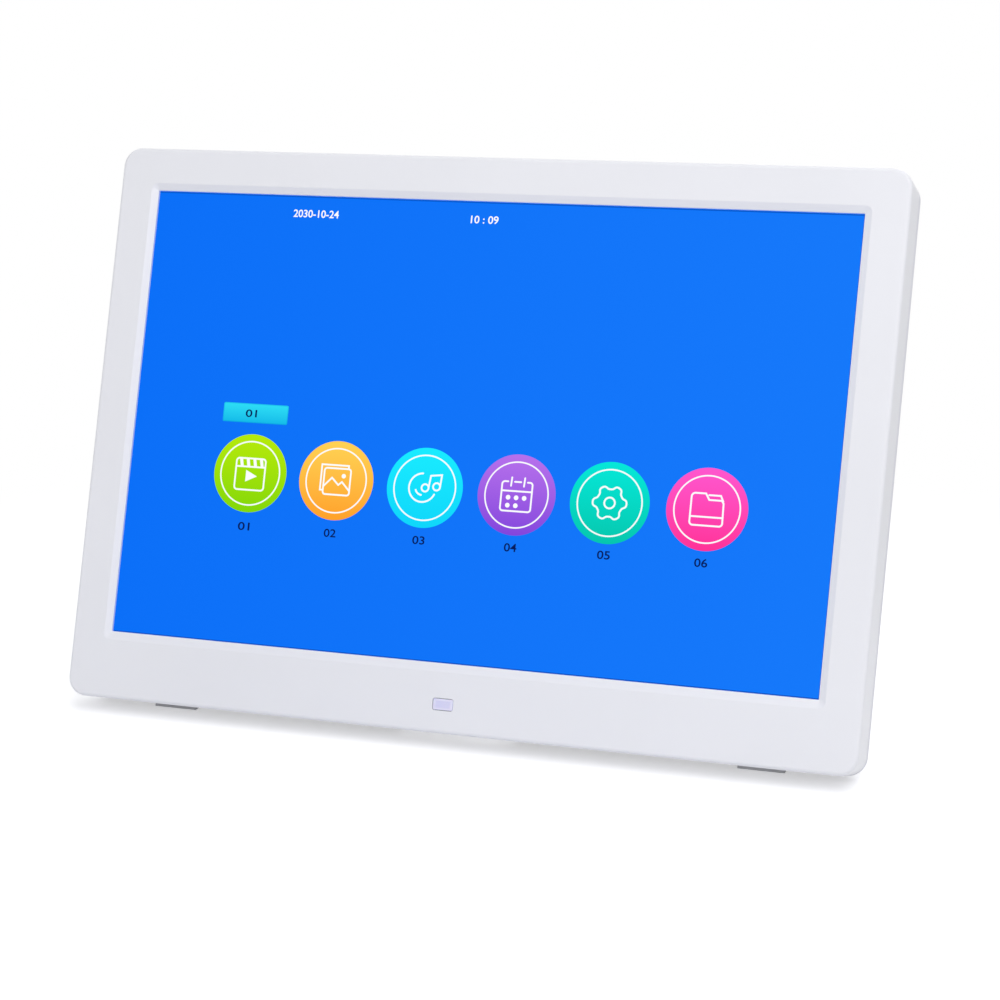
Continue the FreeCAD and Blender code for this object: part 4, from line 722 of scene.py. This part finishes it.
dress(moulding("lamp_strip", linear(232, 226, 206), linear(244, 240, 226), 0.5, 0.4, 1200.0, 1e-5), "led_strip")


# ---------------------------------------------------------------- speakers
# Two small speakers: a stamped steel basket, a ferrite magnet and a doped paper cone.
dress(metal("basket_steel", linear(96, 98, 102), linear(136, 138, 142), 0.42, 0.3, 800.0, 70.0), "speaker_basket_left", "speaker_basket_right")
dress(moulding("magnet_ferrite", linear(44, 44, 46), linear(62, 62, 64), 0.7, 0.55, 2000.0, 2e-5), "speaker_magnet_left", "speaker_magnet_right")
cone, tree, shader = finish("cone_paper", Roughness=0.86)
place = tree.nodes.new("ShaderNodeTexCoord").outputs["Object"]
pulp = noise(tree, place, 1400.0, 6.0)
wire(tree, blend_colours(tree, pulp, linear(26, 25, 24), linear(58, 56, 52)), shader.inputs["Base Color"])
relief(tree, shader, pulp, 6e-5)
dress(cone, "speaker_cone_left", "speaker_cone_right")


# ---------------------------------------------------------------- leads and ribbons
# PVC leads from the board to the speakers, held by strips of cloth tape, and flat white ribbons.
dress(moulding("red_lead", linear(150, 22, 24), linear(178, 34, 32), 0.4, 0.3, 1500.0, 6e-6), "speaker_lead_left", "speaker_lead_right")
dress(moulding("plug_nylon", linear(222, 218, 204), linear(234, 231, 220), 0.46, 0.36, 1500.0, 8e-6), "lead_plugs")
tape, tree, shader = finish("cloth_tape", Roughness=0.8)
place = tree.nodes.new("ShaderNodeTexCoord").outputs["Object"]
flat = tree.nodes.new("ShaderNodeMapping")
flat.inputs["Rotation"].default_value = (-lean, 0, 0)
wire(tree, place, flat.inputs["Vector"])
weave = tree.nodes.new("ShaderNodeTexChecker")
weave.inputs["Scale"].default_value = 2600.0
wire(tree, flat.outputs["Vector"], weave.inputs["Vector"])
wire(tree, blend_colours(tree, weave.outputs["Fac"], linear(26, 26, 28), linear(46, 46, 48)), shader.inputs["Base Color"])
relief(tree, shader, weave.outputs["Fac"], 4e-5)
dress(tape, "lead_tapes")
ribbon, tree, shader = finish("white_ribbon", Roughness=0.34)
place = tree.nodes.new("ShaderNodeTexCoord").outputs["Object"]
stripes = tree.nodes.new("ShaderNodeTexWave")
stripes.inputs["Scale"].default_value = 320.0
wire(tree, place, stripes.inputs["Vector"])
wire(tree, blend_colours(tree, stripes.outputs["Fac"], linear(206, 208, 210), linear(236, 237, 239)), shader.inputs["Base Color"])
relief(tree, shader, stripes.outputs["Fac"], 2e-5)
dress(ribbon, "display_ribbon", "key_ribbon")
